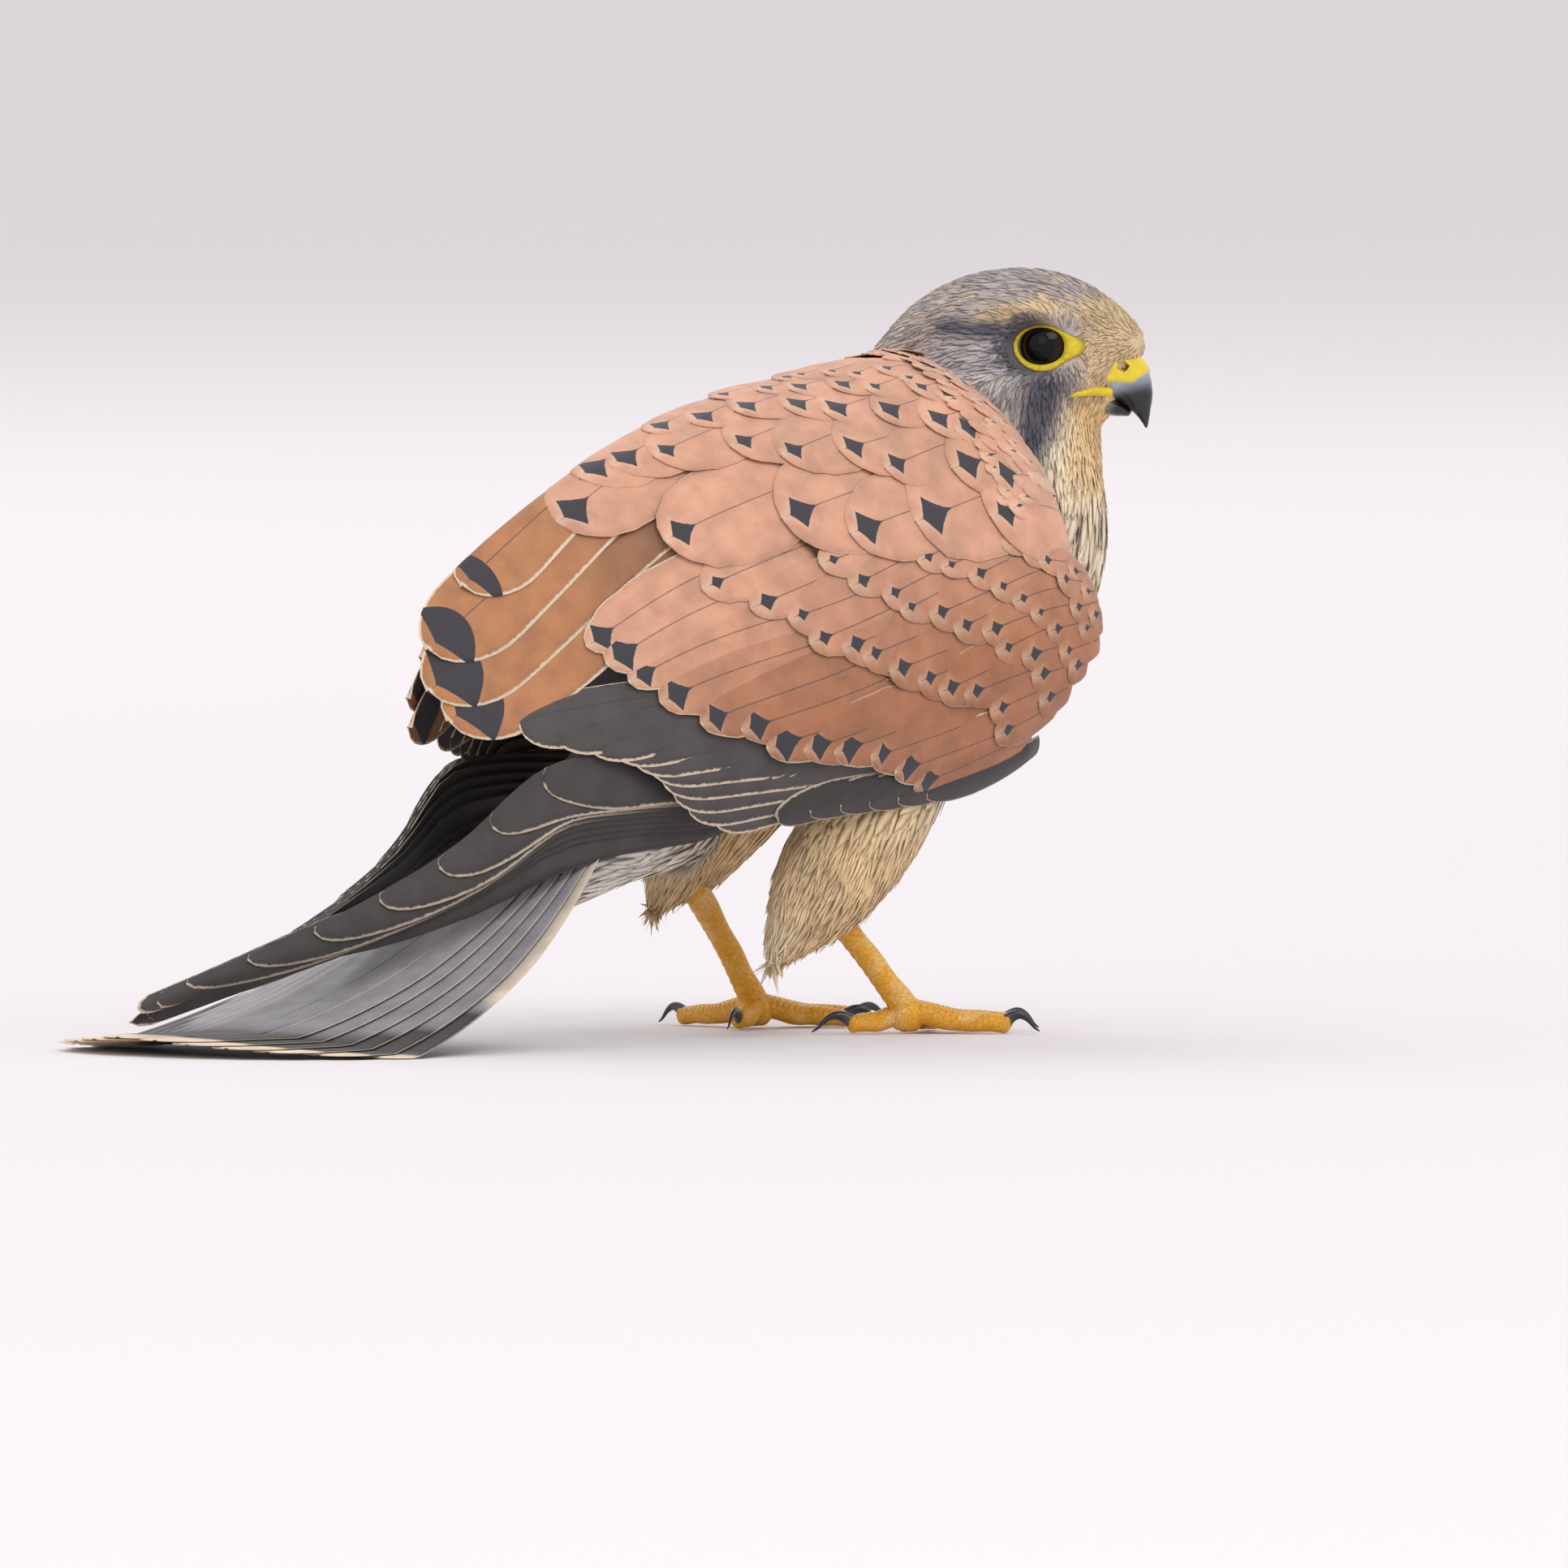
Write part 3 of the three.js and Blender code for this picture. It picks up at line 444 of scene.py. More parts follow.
def feather_material(name, barbs=0.35, blunt=1.5, shaft=0.16, rim_width=0.7, halo=0.0, rim_end=200.0,
                     dark_base=0.0, front=0.36):
    """A feather's web: its own tint, a dark mark towards the tip, a dark shaft, a pale rim and fine barbs.

    The vertices carry place = (distance from the tip, distance from the shaft, distance from the outline)
    and form = (where the mark starts and ends, its half width), in millimetres."""
    g = Graph(name)
    tint, mark = g.attribute("tint"), g.attribute("mark")
    marked = g.value(mark.outputs["Alpha"])
    back, side, rim = g.parts("place")
    start, stop, half = g.parts("form")
    side = g.math("ABSOLUTE", side)
    wander = g.noise(900.0, 2.0) - 0.5
    share = g.math("DIVIDE", back - start, stop - start, clamp=True)
    rise = (share / front) ** 1.1
    fall = ((1.0 - share) / (1 - front)) ** blunt
    width = g.math("MINIMUM", g.math("MINIMUM", rise, fall), 1.0) * half
    reach = width + wander * 0.5 - side
    spot = g.ramp(reach, -0.12, 0.2) * marked
    line = g.ramp(side, shaft * 0.5, shaft * 1.6, 1.0, 0.0) * 0.55
    line = line * g.ramp(back, 0.5, 3.0) * g.math("MINIMUM", marked, 1.0)
    pale = g.ramp(rim + wander * 0.6, rim_width * 0.35, rim_width, 1.0, 0.0)
    pale = pale * g.ramp(back, rim_end * 0.4, rim_end, 1.0, 0.0) * tint.outputs["Alpha"]
    ridge = g.math("SINE", (side * 0.9 + back) * (2 * math.pi / BARB_PITCH)) * g.ramp(side, 0.1, 0.6)
    shade = g.ramp(g.noise(160.0, 4.0), 0.25, 0.75, 0.82, 1.12) + ridge * (0.1 * barbs)
    colour = g.shaded(tint.outputs["Color"], shade)
    if dark_base:
        colour = g.mix(g.ramp(back, dark_base * 0.5, dark_base, 0.0, 0.45), colour, SPOT)
    if halo:
        glow = g.ramp(reach, -3.0, 1.0) * g.ramp(back, 0.5, stop, halo, 0.0)
        colour = g.mix(glow * marked, colour, FRINGE)
    colour = g.mix(pale, colour, FRINGE)
    colour = g.mix(spot, colour, mark.outputs["Color"])
    colour = g.mix(line, colour, SPOT)
    g.bump(ridge + g.noise(700.0, 3.0) * 0.8, 0.25)
    return g.finish(colour, 0.72, 0.15)


def horn_material(name, roughness, scale, strength, coat=0.0):
    """Horn, cere, bare skin or claw, coloured by its vertices."""
    g = Graph(name)
    mottle = g.ramp(g.noise(scale * 0.4, 4.0), 0.3, 0.7, 0.88, 1.08)
    g.bump(g.noise(scale, 5.0), strength)
    g.shader.inputs["Coat Weight"].default_value = coat
    return g.finish(g.shaded(g.attribute("tint").outputs["Color"], mottle), roughness)


def scale_material(name):
    """Small plates of the legs: cells with pale, slightly dusty edges."""
    g = Graph(name)
    cells = g.nodes.new("ShaderNodeTexVoronoi")
    cells.feature = "DISTANCE_TO_EDGE"
    cells.inputs["Scale"].default_value = 900.0
    g.links.new(g.nodes.new("ShaderNodeTexCoord").outputs["Object"], cells.inputs["Vector"])
    gap = g.ramp(cells.outputs[0], 0.0, 0.09, 1.0, 0.0)
    worn = g.ramp(g.noise(180.0, 4.0), 0.5, 0.72)
    colour = g.mix(worn * 0.45, g.attribute("tint").outputs["Color"], tone("#efd9a0"))
    colour = g.mix(gap * 0.35, colour, tone("#b9791c"))
    g.bump(1.0 - gap, 0.5)
    return g.finish(colour, 0.45)


# Feathers that lie on a surface

def cloak(x, q):
    """The folded wing's outer surface, from the back's mid-line at q = 0 to its lower edge at q = 1."""
    top, fall, reach, reach2, height2, tuck, bottom = np.moveaxis(along(CLOAK, x), -1, 0)
    u = 1 - q
    y = 3 * u * u * q * reach + 3 * u * q * q * reach2 + q**3 * tuck
    z = u**3 * top + 3 * u * u * q * (top - fall) + 3 * u * q * q * height2 + q**3 * bottom
    return np.stack([x, -y, z], -1)


def blade(x, q):
    """The surface of the folded primaries, from their lower edge to the line of their tips."""
    y0, z0, y1, z1 = np.moveaxis(along(BLADE, x), -1, 0)
    bulge = 1.2 * np.sin(np.pi * np.clip(q, 0, 1))
    return np.stack([x, lerp(y0, y1, q) - bulge, lerp(z0, z1, q)], -1)


def tangents(surface, x, q):
    """How a surface runs with x and with q, and its outward normal."""
    along_x = surface(x + 0.5, q) - surface(x - 0.5, q)
    across_q = (surface(x, q + 0.01) - surface(x, q - 0.01)) * 50
    normal = unit(np.cross(along_x, across_q))
    outward = normal @ np.array([0, -1, 0.6])
    return along_x, across_q, normal * np.where(outward < 0, -1, 1)[..., None]


def outline(t, point, blunt=2.0):
    """Half width of a web from root to tip, as a share of its widest."""
    tip = (1 - np.clip((t - point) / (1 - point), 0, 1) ** blunt) ** (1 / 2)
    root = lerp(0.62, 1, np.clip(t / point, 0, 1) ** 0.8)
    return np.maximum(np.where(t > point, tip, root), 0.02)


def vane(surface, root, tip, width, sink, lift, roll=0.5, camber=0.7, point=0.55, blunt=2.4, rows=15,
         columns=9, skew=0.0, thickness=0.22, ease=0.7, ragged=0.0):
    """A feather on a surface: its points, what its shader reads and the share along it."""
    t = 1 - (1 - np.linspace(0, 1, rows)) ** 1.5
    x, q = lerp(root[0], tip[0], t), lerp(root[1], tip[1], t)
    along_x, across_q, normal = tangents(surface, x, q)
    run = along_x * (tip[0] - root[0]) + across_q * (tip[1] - root[1])
    across = unit(np.cross(normal, run))
    g11, g22 = (along_x**2).sum(-1), (across_q**2).sum(-1)
    g12 = (along_x * across_q).sum(-1)
    a1, a2 = (across * along_x).sum(-1), (across * across_q).sum(-1)
    scale = g11 * g22 - g12**2
    dx, dq = (a1 * g22 - a2 * g12) / scale, (a2 * g11 - a1 * g12) / scale
    turn = np.where(dq < 0, -1, 1)
    dx, dq = dx * turn, dq * turn
    half = 0.5 * width * outline(t, point, blunt)
    half = half * (1 + ragged * rng.standard_normal(rows) * (t > 0.3))
    share = np.linspace(-1, 1, columns)
    offset = half[:, None] * (share + skew * (1 - share**2))[None, :]
    spot = surface(x[:, None] + dx[:, None] * offset, np.clip(q[:, None] + dq[:, None] * offset, -0.05, 1.05))
    height = lerp(-sink, lift, t ** ease)[:, None] + roll * share + camber * (1 - share**2)
    length = np.linalg.norm(surface(*np.float64(tip)) - surface(*np.float64(root)))
    top = spot + normal[:, None] * height[..., None]
    bottom = spot + normal[:, None] * (height - thickness)[..., None]
    values = distances(t, share, half, length, offset - skew * half[:, None])
    return np.stack([top, bottom]), values, np.broadcast_to(t[:, None], offset.shape)


def distances(t, share, half, length, offset):
    """How far each place of a web is from its tip, its shaft and its outline."""
    back = np.broadcast_to((length * (1 - t))[:, None], offset.shape)
    rim = np.minimum((1 - np.abs(share))[None, :] * half[:, None], back)
    return np.stack([back, offset, rim], -1)


def add_vane(bag, made, tint, mark, form, cell, rim=1.0, strength=1.0, left=None):
    """Puts a feather in a bag, in its own cell of the map, and also on the other wing."""
    points, values, t = made
    share = np.broadcast_to(np.linspace(0, 1, t.shape[1]), t.shape)
    corner = np.array([cell % MAP_CELLS, cell // MAP_CELLS]) / MAP_CELLS
    uv = corner + MAP_MARGIN + np.stack([share, t], -1) * (1 / MAP_CELLS - 2 * MAP_MARGIN)
    layers = dict(tint=rgba(tint, rim, t.shape), mark=rgba(mark, strength, t.shape), place=values)
    shared = {name: np.stack([layer, layer]) for name, layer in layers.items()}
    shared["form"] = np.array([form], float)
    faces = leaf_faces(*t.shape)
    bag.add(points, faces, np.stack([uv, uv]), **shared)
    if left is not None:
        left.add(to_left(points), faces[:, ::-1], np.stack([uv, uv]), **shared)


def to_left(points):
    """The same place on the left wing, which sits a little further forward and lower behind."""
    p = points * [1, -1, 1] - [20, 0, 90]
    pitch = math.radians(-0.8)
    c, s = math.cos(pitch), math.sin(pitch)
    x, z = p[..., 0] * c + p[..., 2] * s, -p[..., 0] * s + p[..., 2] * c
    return np.stack([x, p[..., 1], z], -1) + [25, 0, 90]


# Each row of small feathers: tips as x and q, count, length, width, mark (start, end, half width)
SCAPULARS = [
    ([(-88, 0.09), (-67, 0.31), (-48, 0.375), (-30, 0.45), (-14, 0.475), (2, 0.5), (14, 0.545)],
     7, 40, 26, (2.0, 10.0, 4.5)),
    ([(-78, 0.015), (-68, 0.06), (-58, 0.13), (-43, 0.2), (-30, 0.27), (-17, 0.33), (-4, 0.395),
      (8, 0.44)], 9, 34, 22, (1.9, 8.0, 3.7)),
    ([(-54, 0.015), (-42, 0.06), (-30, 0.12), (-17, 0.19), (-4, 0.26), (7, 0.33)],
     8, 28, 18, (1.8, 7.0, 3.2)),
    ([(-34, 0.012), (-23, 0.06), (-11, 0.11), (0, 0.17), (9, 0.24)], 7, 23, 15, (1.6, 5.4, 2.4)),
    ([(-18, 0.012), (-10, 0.05), (-2, 0.1), (5, 0.16)], 6, 19, 12, (1.5, 4.4, 1.6)),
]
COVERTS = [
    ([(-91, 0.42), (-88, 0.5), (-84, 0.59), (-76, 0.67), (-66, 0.73), (-57, 0.785), (-48, 0.82), (-38, 0.86),
      (-26, 0.91), (-14, 0.955), (-3, 0.99)], 13, 42, 15, (2.0, 8.0, 3.8)),
    ([(-66, 0.44), (-56, 0.535), (-47, 0.6), (-39, 0.65), (-30, 0.705), (-20, 0.755), (-10, 0.79), (0, 0.845),
      (8, 0.91)], 12, 27, 13, (2.4, 6.6, 1.9)),
    ([(-40, 0.49), (-30, 0.56), (-20, 0.62), (-9, 0.68), (2, 0.735), (11, 0.8), (18, 0.88)], 11, 21, 11,
     (2.4, 6.0, 1.5)),
    ([(-22, 0.5), (-11, 0.565), (0, 0.62), (10, 0.68), (18, 0.75), (24, 0.83)],
     10, 17, 9.5, (2.2, 5.2, 1.25)),
    ([(-4, 0.51), (5, 0.56), (14, 0.61), (22, 0.67), (28, 0.75), (31, 0.83)], 10, 14, 8, (2.0, 4.6, 1.1)),
    ([(9, 0.52), (17, 0.565), (24, 0.62), (30, 0.69), (33, 0.77), (33, 0.84)], 10, 11, 6.5, (1.6, 4.2, 1.0)),
    ([(20, 0.56), (27, 0.6), (33, 0.67), (36, 0.75), (36, 0.82)], 9, 8.5, 5.5, (1.2, 4.0, 0.9)),
]
# Each tertial: tip, length, width, where its dark end starts
TERTIALS = [
    ((-113, 0.03), 60, 18, 8), ((-125, 0.13), 72, 21, 12), ((-127, 0.26), 74, 22, 15),
    ((-124, 0.39), 70, 22, 15),
]
# Each secondary: x and q of its tip, x and q of its root
SECONDARIES = [
    (-109, 0.515, -57, 0.706), (-102, 0.575, -49, 0.742), (-96, 0.625, -42, 0.776),
    (-91, 0.666, -36, 0.809), (-87, 0.706, -30, 0.843), (-83.5, 0.742, -23, 0.883),
    (-81, 0.779, -19, 0.916), (-78.5, 0.816, -17, 0.936), (-75, 0.856, -15, 0.96),
    (-68.5, 0.896, -12, 0.975),
]


# Rows of loose feathers on the wing's front edge: x of the tips, count, reach down the wing, lift
CAPE = [(8, 20, 0.54, 1.5), (14, 26, 0.5, 1.1), (19, 32, 0.46, 0.6)]
# Each toe: its length and its claw's
TOES = dict(inner=(20, 10), middle=(27, 10.5), outer=(22, 9), back=(13, 11))


def front_limit(q):
    return float(along(WING_FRONT, np.clip(q, 0, 1))[..., 0])


def jitter(amount):
    """A factor near one, with its most stray on either side."""
    return 1 + amount * (2 * rng.random() - 1)


def row_vanes(rows, bags, cell, sink, lift, edge, limit):
    """Rows of small feathers, the hindmost row first and each next one over it."""
    for number, (tips, count, long, width, (start, stop, half)) in enumerate(rows):
        table = [(i, *tip) for i, tip in enumerate(tips)]
        for i in range(count):
            x, q = along(table, (len(tips) - 1) * i / (count - 1))
            reach = long * jitter(0.08)
            root = (min(limit(q), x + reach), q - 0.01 * jitter(0.5))
            x, q = x + width * 0.14 * (2 * rng.random() - 1), q + 0.012 * (2 * rng.random() - 1)
            if root[0] - x < 0.5 * long:
                continue
            made = vane(cloak, root, (x, q), width * jitter(0.12), sink,
                        lift - 0.1 * number + 0.15 * rng.random(), rows=15, columns=11, ease=0.4, point=0.5,
                        ragged=0.02, camber=0.35, **SMALL_VANE)
            tint = blend(MANTLE, COVERT, edge[1] * smooth(0.42, 0.8, q)) * jitter(0.07)
            size = jitter(0.25)
            add_vane(bags[0], made, tint, SPOT, (start, lerp(start, stop, size), half * size), cell,
                     rim=edge[0] * (0.3 if number else 1) * jitter(0.5), left=bags[1])
            cell += 1


def long_vanes(bags):
    """Tertials and secondaries, from the wing's lower edge up, each over the last."""
    for i, (x, q, root_x, root_q) in enumerate(reversed(SECONDARIES)):
        made = vane(cloak, (root_x, root_q), (x, q), 13 * jitter(0.04), 1.5, -1.0 + 0.16 * i, roll=0.25,
                    camber=0.3, point=0.8, rows=19, columns=11, skew=-0.3, ease=0.5)
        add_vane(bags[2], made, FLIGHT * jitter(0.06) * 1.5, BAND, (3, 6, 0.1), i, left=bags[3])
    first = len(SECONDARIES)
    for i, ((x, q), long, width, dark) in enumerate(reversed(TERTIALS)):
        made = vane(cloak, (x + long, max(0, q - 0.03)), (x, q), width, 1.8, 0.2 + 0.45 * i, roll=0.5,
                    camber=0.8, point=0.78, blunt=2.0, rows=19, columns=13)
        add_vane(bags[4], made, TERTIAL * jitter(0.04), SPOT, (2.2, dark, 9.0), first + i, left=bags[5])
    return first + len(TERTIALS)


def primary_vanes(bags, cell):
    """The primaries on their blade, where the inner ones lie over the outer ones, and their small coverts."""
    last = len(PRIMARY_TIPS) - 1
    for i in range(last, -1, -1):
        share = i / last
        tip = (PRIMARY_TIPS[i], 0.5 if i >= last - 1 else lerp(0.9, 0.8, share))
        made = vane(blade, (-28, lerp(0.88, 0.16, share)), tip, lerp(17, 9.5, share), 2.5 + 0.9 * i, 0.4,
                    roll=-0.2, camber=0.5, point=0.76, blunt=2.2, rows=24, columns=11, skew=0.25, ease=1.0)
        add_vane(bags[2], made, FLIGHT * jitter(0.05), BAND, (2, 5, 0.1), cell + i, rim=0.7, left=bags[3])
    cell += last + 1
    for i in range(PRIMARY_COVERTS):
        share = i / (PRIMARY_COVERTS - 1)
        x, q = lerp(-52, -8, share), lerp(0.95, 1.0, share)
        made = vane(cloak, (x + 34, min(1.02, q + 0.01)), (x, q), 10, 0.6, 0.2 + 0.1 * i, rows=13)
        add_vane(bags[2], made, FLIGHT * 0.8, BAND, (2, 5, 0.1), cell + i, rim=0.6, left=bags[3])


def wing_lining(bags, cell):
    """The closed arm of the wing under its feathers, plain all over."""
    q, t = np.meshgrid(np.linspace(-0.02, 1, 30), np.linspace(0, 1, 30))
    clipped = np.clip(q, 0, 1)
    x = lerp(along(WING_BACK, clipped)[..., 0], along(WING_FRONT, clipped)[..., 0] - 1.5, t)
    normal = tangents(cloak, x, q)[2]
    depth = 1.4 + 6 * smooth(0.84, 1, t)
    thick = lerp(1.2, 12, smooth(-90, -30, x))
    outer = cloak(x, q)
    points = np.stack([outer - normal * depth[..., None], outer - normal * (depth + thick)[..., None]])
    values = np.zeros((*x.shape, 3)) + [20, 5, 5]
    add_vane(bags[0], (points, values, t), MANTLE * 0.7, SPOT, (1, 2, 0.1), cell, rim=0, strength=0,
             left=bags[1])


def cape(bags, cell):
    """Small loose feathers over the wing's front edge, grey by the nape and cream by the breast."""
    for row, (tip, count, reach, lift) in enumerate(CAPE):
        for i in range(count):
            q = reach * (i + rng.random()) / count - 0.02
            root = (min(tip + 15 * jitter(0.1), 34), q - 0.01)
            made = vane(cloak, root, (tip + 4 * rng.random(), q + 0.01), 7 * jitter(0.25), 3.2,
                        lift * lerp(0.1, 1, smooth(0, 0.16, q)), rows=11, columns=7, ease=0.45, point=0.4,
                        ragged=0.05, camber=0.3, **SMALL_VANE)
            edge = 0.25 * row
            colour = blend(MANTLE * 1.05, GREY, edge * smooth(0.34, 0.1, q) * rng.random())
            colour = blend(colour, CREAM, edge * smooth(0.3, 0.5, q) * rng.random())
            add_vane(bags[0], made, colour * jitter(0.07), SPOT, (2, 6, 0.5), cell, rim=0.15,
                     strength=float(rng.random() > 0.6), left=bags[1])
            cell += 1


def build_wings():
    bags = [Bag() for _ in range(6)]
    primary_vanes(bags, long_vanes(bags))
    wing_lining(bags, MAP_CELLS**2 - 1)
    row_vanes(COVERTS, bags, 0, 1.2, 0.85, (0.6, 1.0), lambda q: front_limit(q) + 1)
    row_vanes(SCAPULARS, bags, 75, 2.2, 1.2, (0.2, 0.2), lambda q: 32)
    cape(bags, 110)
    small = feather_material("wing_web", blunt=1.7, halo=0.38, front=0.3, rim_width=0.5)
    flight = feather_material("flight_web", rim_width=0.5, shaft=0.2, rim_end=60.0)
    broad = feather_material("tertial_web", blunt=0.45, rim_width=0.8, dark_base=70.0)
    for index, side in enumerate(("right", "left")):
        bags[index].piece(f"wing_coverts_{side}", small, "wing_feathers", f"wing_{side}")
        bags[2 + index].piece(f"flight_feathers_{side}", flight, "wing_feathers")
        bags[4 + index].piece(f"tertials_{side}", broad, "wing_feathers")


# Tail

def tail_line(s):
    """Places along the tail's middle line."""
    s = np.atleast_1d(np.asarray(s, float))
    steps = 24
    at = s[:, None] * (np.arange(steps) + 0.5) / steps
    pitch = np.radians(lerp(TAIL_PITCH[0], TAIL_PITCH[1], at / TAIL_LENGTH))
    x = TAIL_ROOT[0] - (np.cos(pitch) * s[:, None] / steps).sum(1)
    z = TAIL_ROOT[2] - (np.sin(pitch) * s[:, None] / steps).sum(1)
    return x, z


# Each tail feather's length and width, from the middle one out
TAIL_FEATHERS = [(166, 23), (165, 22), (163, 21), (159, 20), (152, 19), (142, 17)]


def tail_vane(bag, index, side, cell):
    long, width = TAIL_FEATHERS[index]
    last = len(TAIL_FEATHERS) - 1
    angle = math.radians(1.5 + TAIL_SPREAD * index / last + 0.4 * (rng.random() - 0.5))
    layer = TAIL_LAYER * (last - index) * (1.1 if side > 0 else 1)
    t = 1 - (1 - np.linspace(0, 1, 34)) ** 1.6
    s = long * math.cos(angle) * t
    share = np.linspace(-1, 1, 11)
    half = 0.5 * width * lerp(0.4, 1, np.minimum(1, t * 1.8))
    half = half * np.sqrt(1 - np.clip((t - 0.93) / 0.0702, 0, 1) ** 2.4)
    middle = 2 + 0.5 * index + s * math.tan(angle)
    x, z = tail_line(s)
    height = np.maximum(z + layer, 0.35 + layer * 0.8)[:, None] + 0.25 * (1 - share**2)
    y = side * (middle[:, None] + half[:, None] * share / math.cos(angle))
    spread = np.broadcast_to(x[:, None], y.shape)
    points = np.stack([np.stack([spread, y, height + up], -1) for up in (0.12, -0.12)])
    values = distances(t, share, half, long, half[:, None] * (share + 0.25)[None, :])
    back = values[..., 0]
    tint = blend(TAIL_GREY * jitter(0.06), FRINGE, smooth(9.5, 8.2, back))
    tint = blend(tint, BAND, smooth(8.4, 9.6, back) * smooth(38, 36, back))
    if index == last:
        tint = blend(tint, FRINGE, 0.7 * smooth(0.3, 0.8, share)[None, :] * smooth(40, 44, back))
    made = points, values, np.broadcast_to(t[:, None], y.shape)
    add_vane(bag, made, tint, BAND, (60, 62, 0.1), cell, rim=0.35)


def build_tail():
    bag = Bag()
    for index in range(len(TAIL_FEATHERS)):
        for side in (-1, 1):
            tail_vane(bag, index, side, index * 2 + (side > 0))
    material = feather_material("tail_web", shaft=0.3, rim_width=0.5)
    bag.piece("tail_feathers", material, "tail_feathers", "tail")


# Skin

# Each leg: the foot's middle, the heel, the toes' directions in degrees, and the forms of thigh and cuff
LEGS = {
    "right": dict(
        side=-1, base=(1.5, -STANCE_HALF_WIDTH, 5), heel=(-26, -22, 33),
        toes=dict(inner=30, middle=-8, outer=-45, back=152),
        thigh=[(4, -20, 66, 15), (-10, -24, 50, 14.5), (-24, -25, 36, 13), (-33, -24.5, 26, 8.5),
               (-41, -24, 17, 2)],
        cuff=[(-13, -24, 46, 10), (-18, -24, 34, 7), (-19.5, -23.5, 27, 4)]),
    "left": dict(
        side=1, base=(-1.5, STANCE_HALF_WIDTH, 5), heel=(-23, 22, 34),
        toes=dict(inner=-40, middle=-10, outer=95, back=-150),
        thigh=[(4, 20, 66, 15), (-10, 23, 52, 14), (-20, 24, 42, 11.5), (-27, 23.5, 34, 7), (-33, 23, 27, 2)],
        cuff=[(-8, 23, 48, 9), (-13, 23, 40, 7), (-17, 23, 34, 4)]),
}


def head_rings():
    """The head's skin as rings from nape to bill."""
    f = np.linspace(HEAD[0][0], HEAD[-1][0], 30)
    top, bottom, half = np.moveaxis(along(HEAD, f), -1, 0)
    middle = lerp(bottom, top, 0.52)
    angle = turns(48)
    reach = np.where(np.sin(angle) > 0, (top - middle)[:, None], (middle - bottom)[:, None])
    ring = np.stack([np.broadcast_to(f[:, None], reach.shape), np.cos(angle) * half[:, None],
                     middle[:, None] + np.sin(angle) * reach], -1)
    ends = [lerp(ring[end].mean(0), ring[end], 0.05) + [out, 0, 0] for end, out in ((0, -2), (-1, 1))]
    return from_head(np.concatenate([ends[0][None], ring, ends[1][None]]))


def fuse(forms, voxel):
    """Closed tubes of rings, joined into one even surface; returns its points and faces."""
    mesh = bpy.data.meshes.new("fused")
    verts, faces, count = [], [], 0
    for rings in forms:
        rows, sides, _ = rings.shape
        verts.append(rings.reshape(-1, 3))
        faces += [tuple(quad) for quad in grid_faces(rows, sides, closed=True) + count]
        faces.append(tuple(range(count + sides - 1, count - 1, -1)))
        faces.append(tuple(range(count + (rows - 1) * sides, count + rows * sides)))
        count += rows * sides
    mesh.from_pydata(np.concatenate(verts).tolist(), [], faces)
    work = bmesh.new()
    work.from_mesh(mesh)
    bmesh.ops.recalc_face_normals(work, faces=work.faces)
    work.to_mesh(mesh)
    work.free()
    obj = linked("fused", mesh)
    remesh = obj.modifiers.new("remesh", "REMESH")
    remesh.mode = "VOXEL"
    remesh.voxel_size = voxel
    soften = obj.modifiers.new("soften", "SMOOTH")
    soften.factor = 0.6
    soften.iterations = 8
    whole = obj.evaluated_get(bpy.context.evaluated_depsgraph_get()).to_mesh()
    points = np.zeros(len(whole.vertices) * 3, np.float32)
    whole.vertices.foreach_get("co", points)
    loops = np.zeros(len(whole.loops), np.int32)
    whole.loops.foreach_get("vertex_index", loops)
    bpy.data.objects.remove(obj)
    return points.reshape(-1, 3).astype(float), loops.reshape(-1, 4).astype(np.int64)


def vertex_normals(points, quads):
    """The mean normal of the faces round each point."""
    normal = np.cross(points[quads[:, 2]] - points[quads[:, 0]], points[quads[:, 3]] - points[quads[:, 1]])
    total = np.zeros_like(points)
    for k in range(4):
        np.add.at(total, quads[:, k], normal)
    return unit(total)


def sink_eyes(points):
    """Presses a dish into each side of the head for the eye."""
    local = to_head(points)
    for side in (-1, 1):
        centre = np.array([EYE_PLACE[0] + EYE_DISH[0], side * (EYE_PLACE[1] + EYE_DISH[1]), EYE_PLACE[2]])
        d = (local - centre) / EYE_DISH_RADII
        flat = d[:, 0] ** 2 + d[:, 2] ** 2
        inside = ((d**2).sum(1) < 1) & (flat < 1)
        depth = centre[1] - side * EYE_DISH_RADII[1] * np.sqrt(np.maximum(0, 1 - flat))
        local[:, 1] = np.where(inside, depth, local[:, 1])
    return from_head(local)


def build_skin_form():
    forms = [closed_tube(TRUNK, 60, 48, grow=-COAT_DEPTH)[0], head_rings(),
             closed_tube(round_rows(VENT), 30, 32, grow=-COAT_DEPTH)[0]]
    for leg in LEGS.values():
        for part, ring_count, sides in (("thigh", 30, 32), ("cuff", 16, 24)):
            rows = [(x, y, z, r * 0.85, r, r) for x, y, z, r in leg[part]]
            forms.append(closed_tube(rows, ring_count, sides, grow=-THIGH_COAT_DEPTH)[0])
    for side in (-1, 1):
        forms.append(from_head(closed_tube(round_rows(BROW, side), 20, 16)[0]))
    points, quads = fuse(forms, SKIN_VOXEL)
    return sink_eyes(points), quads


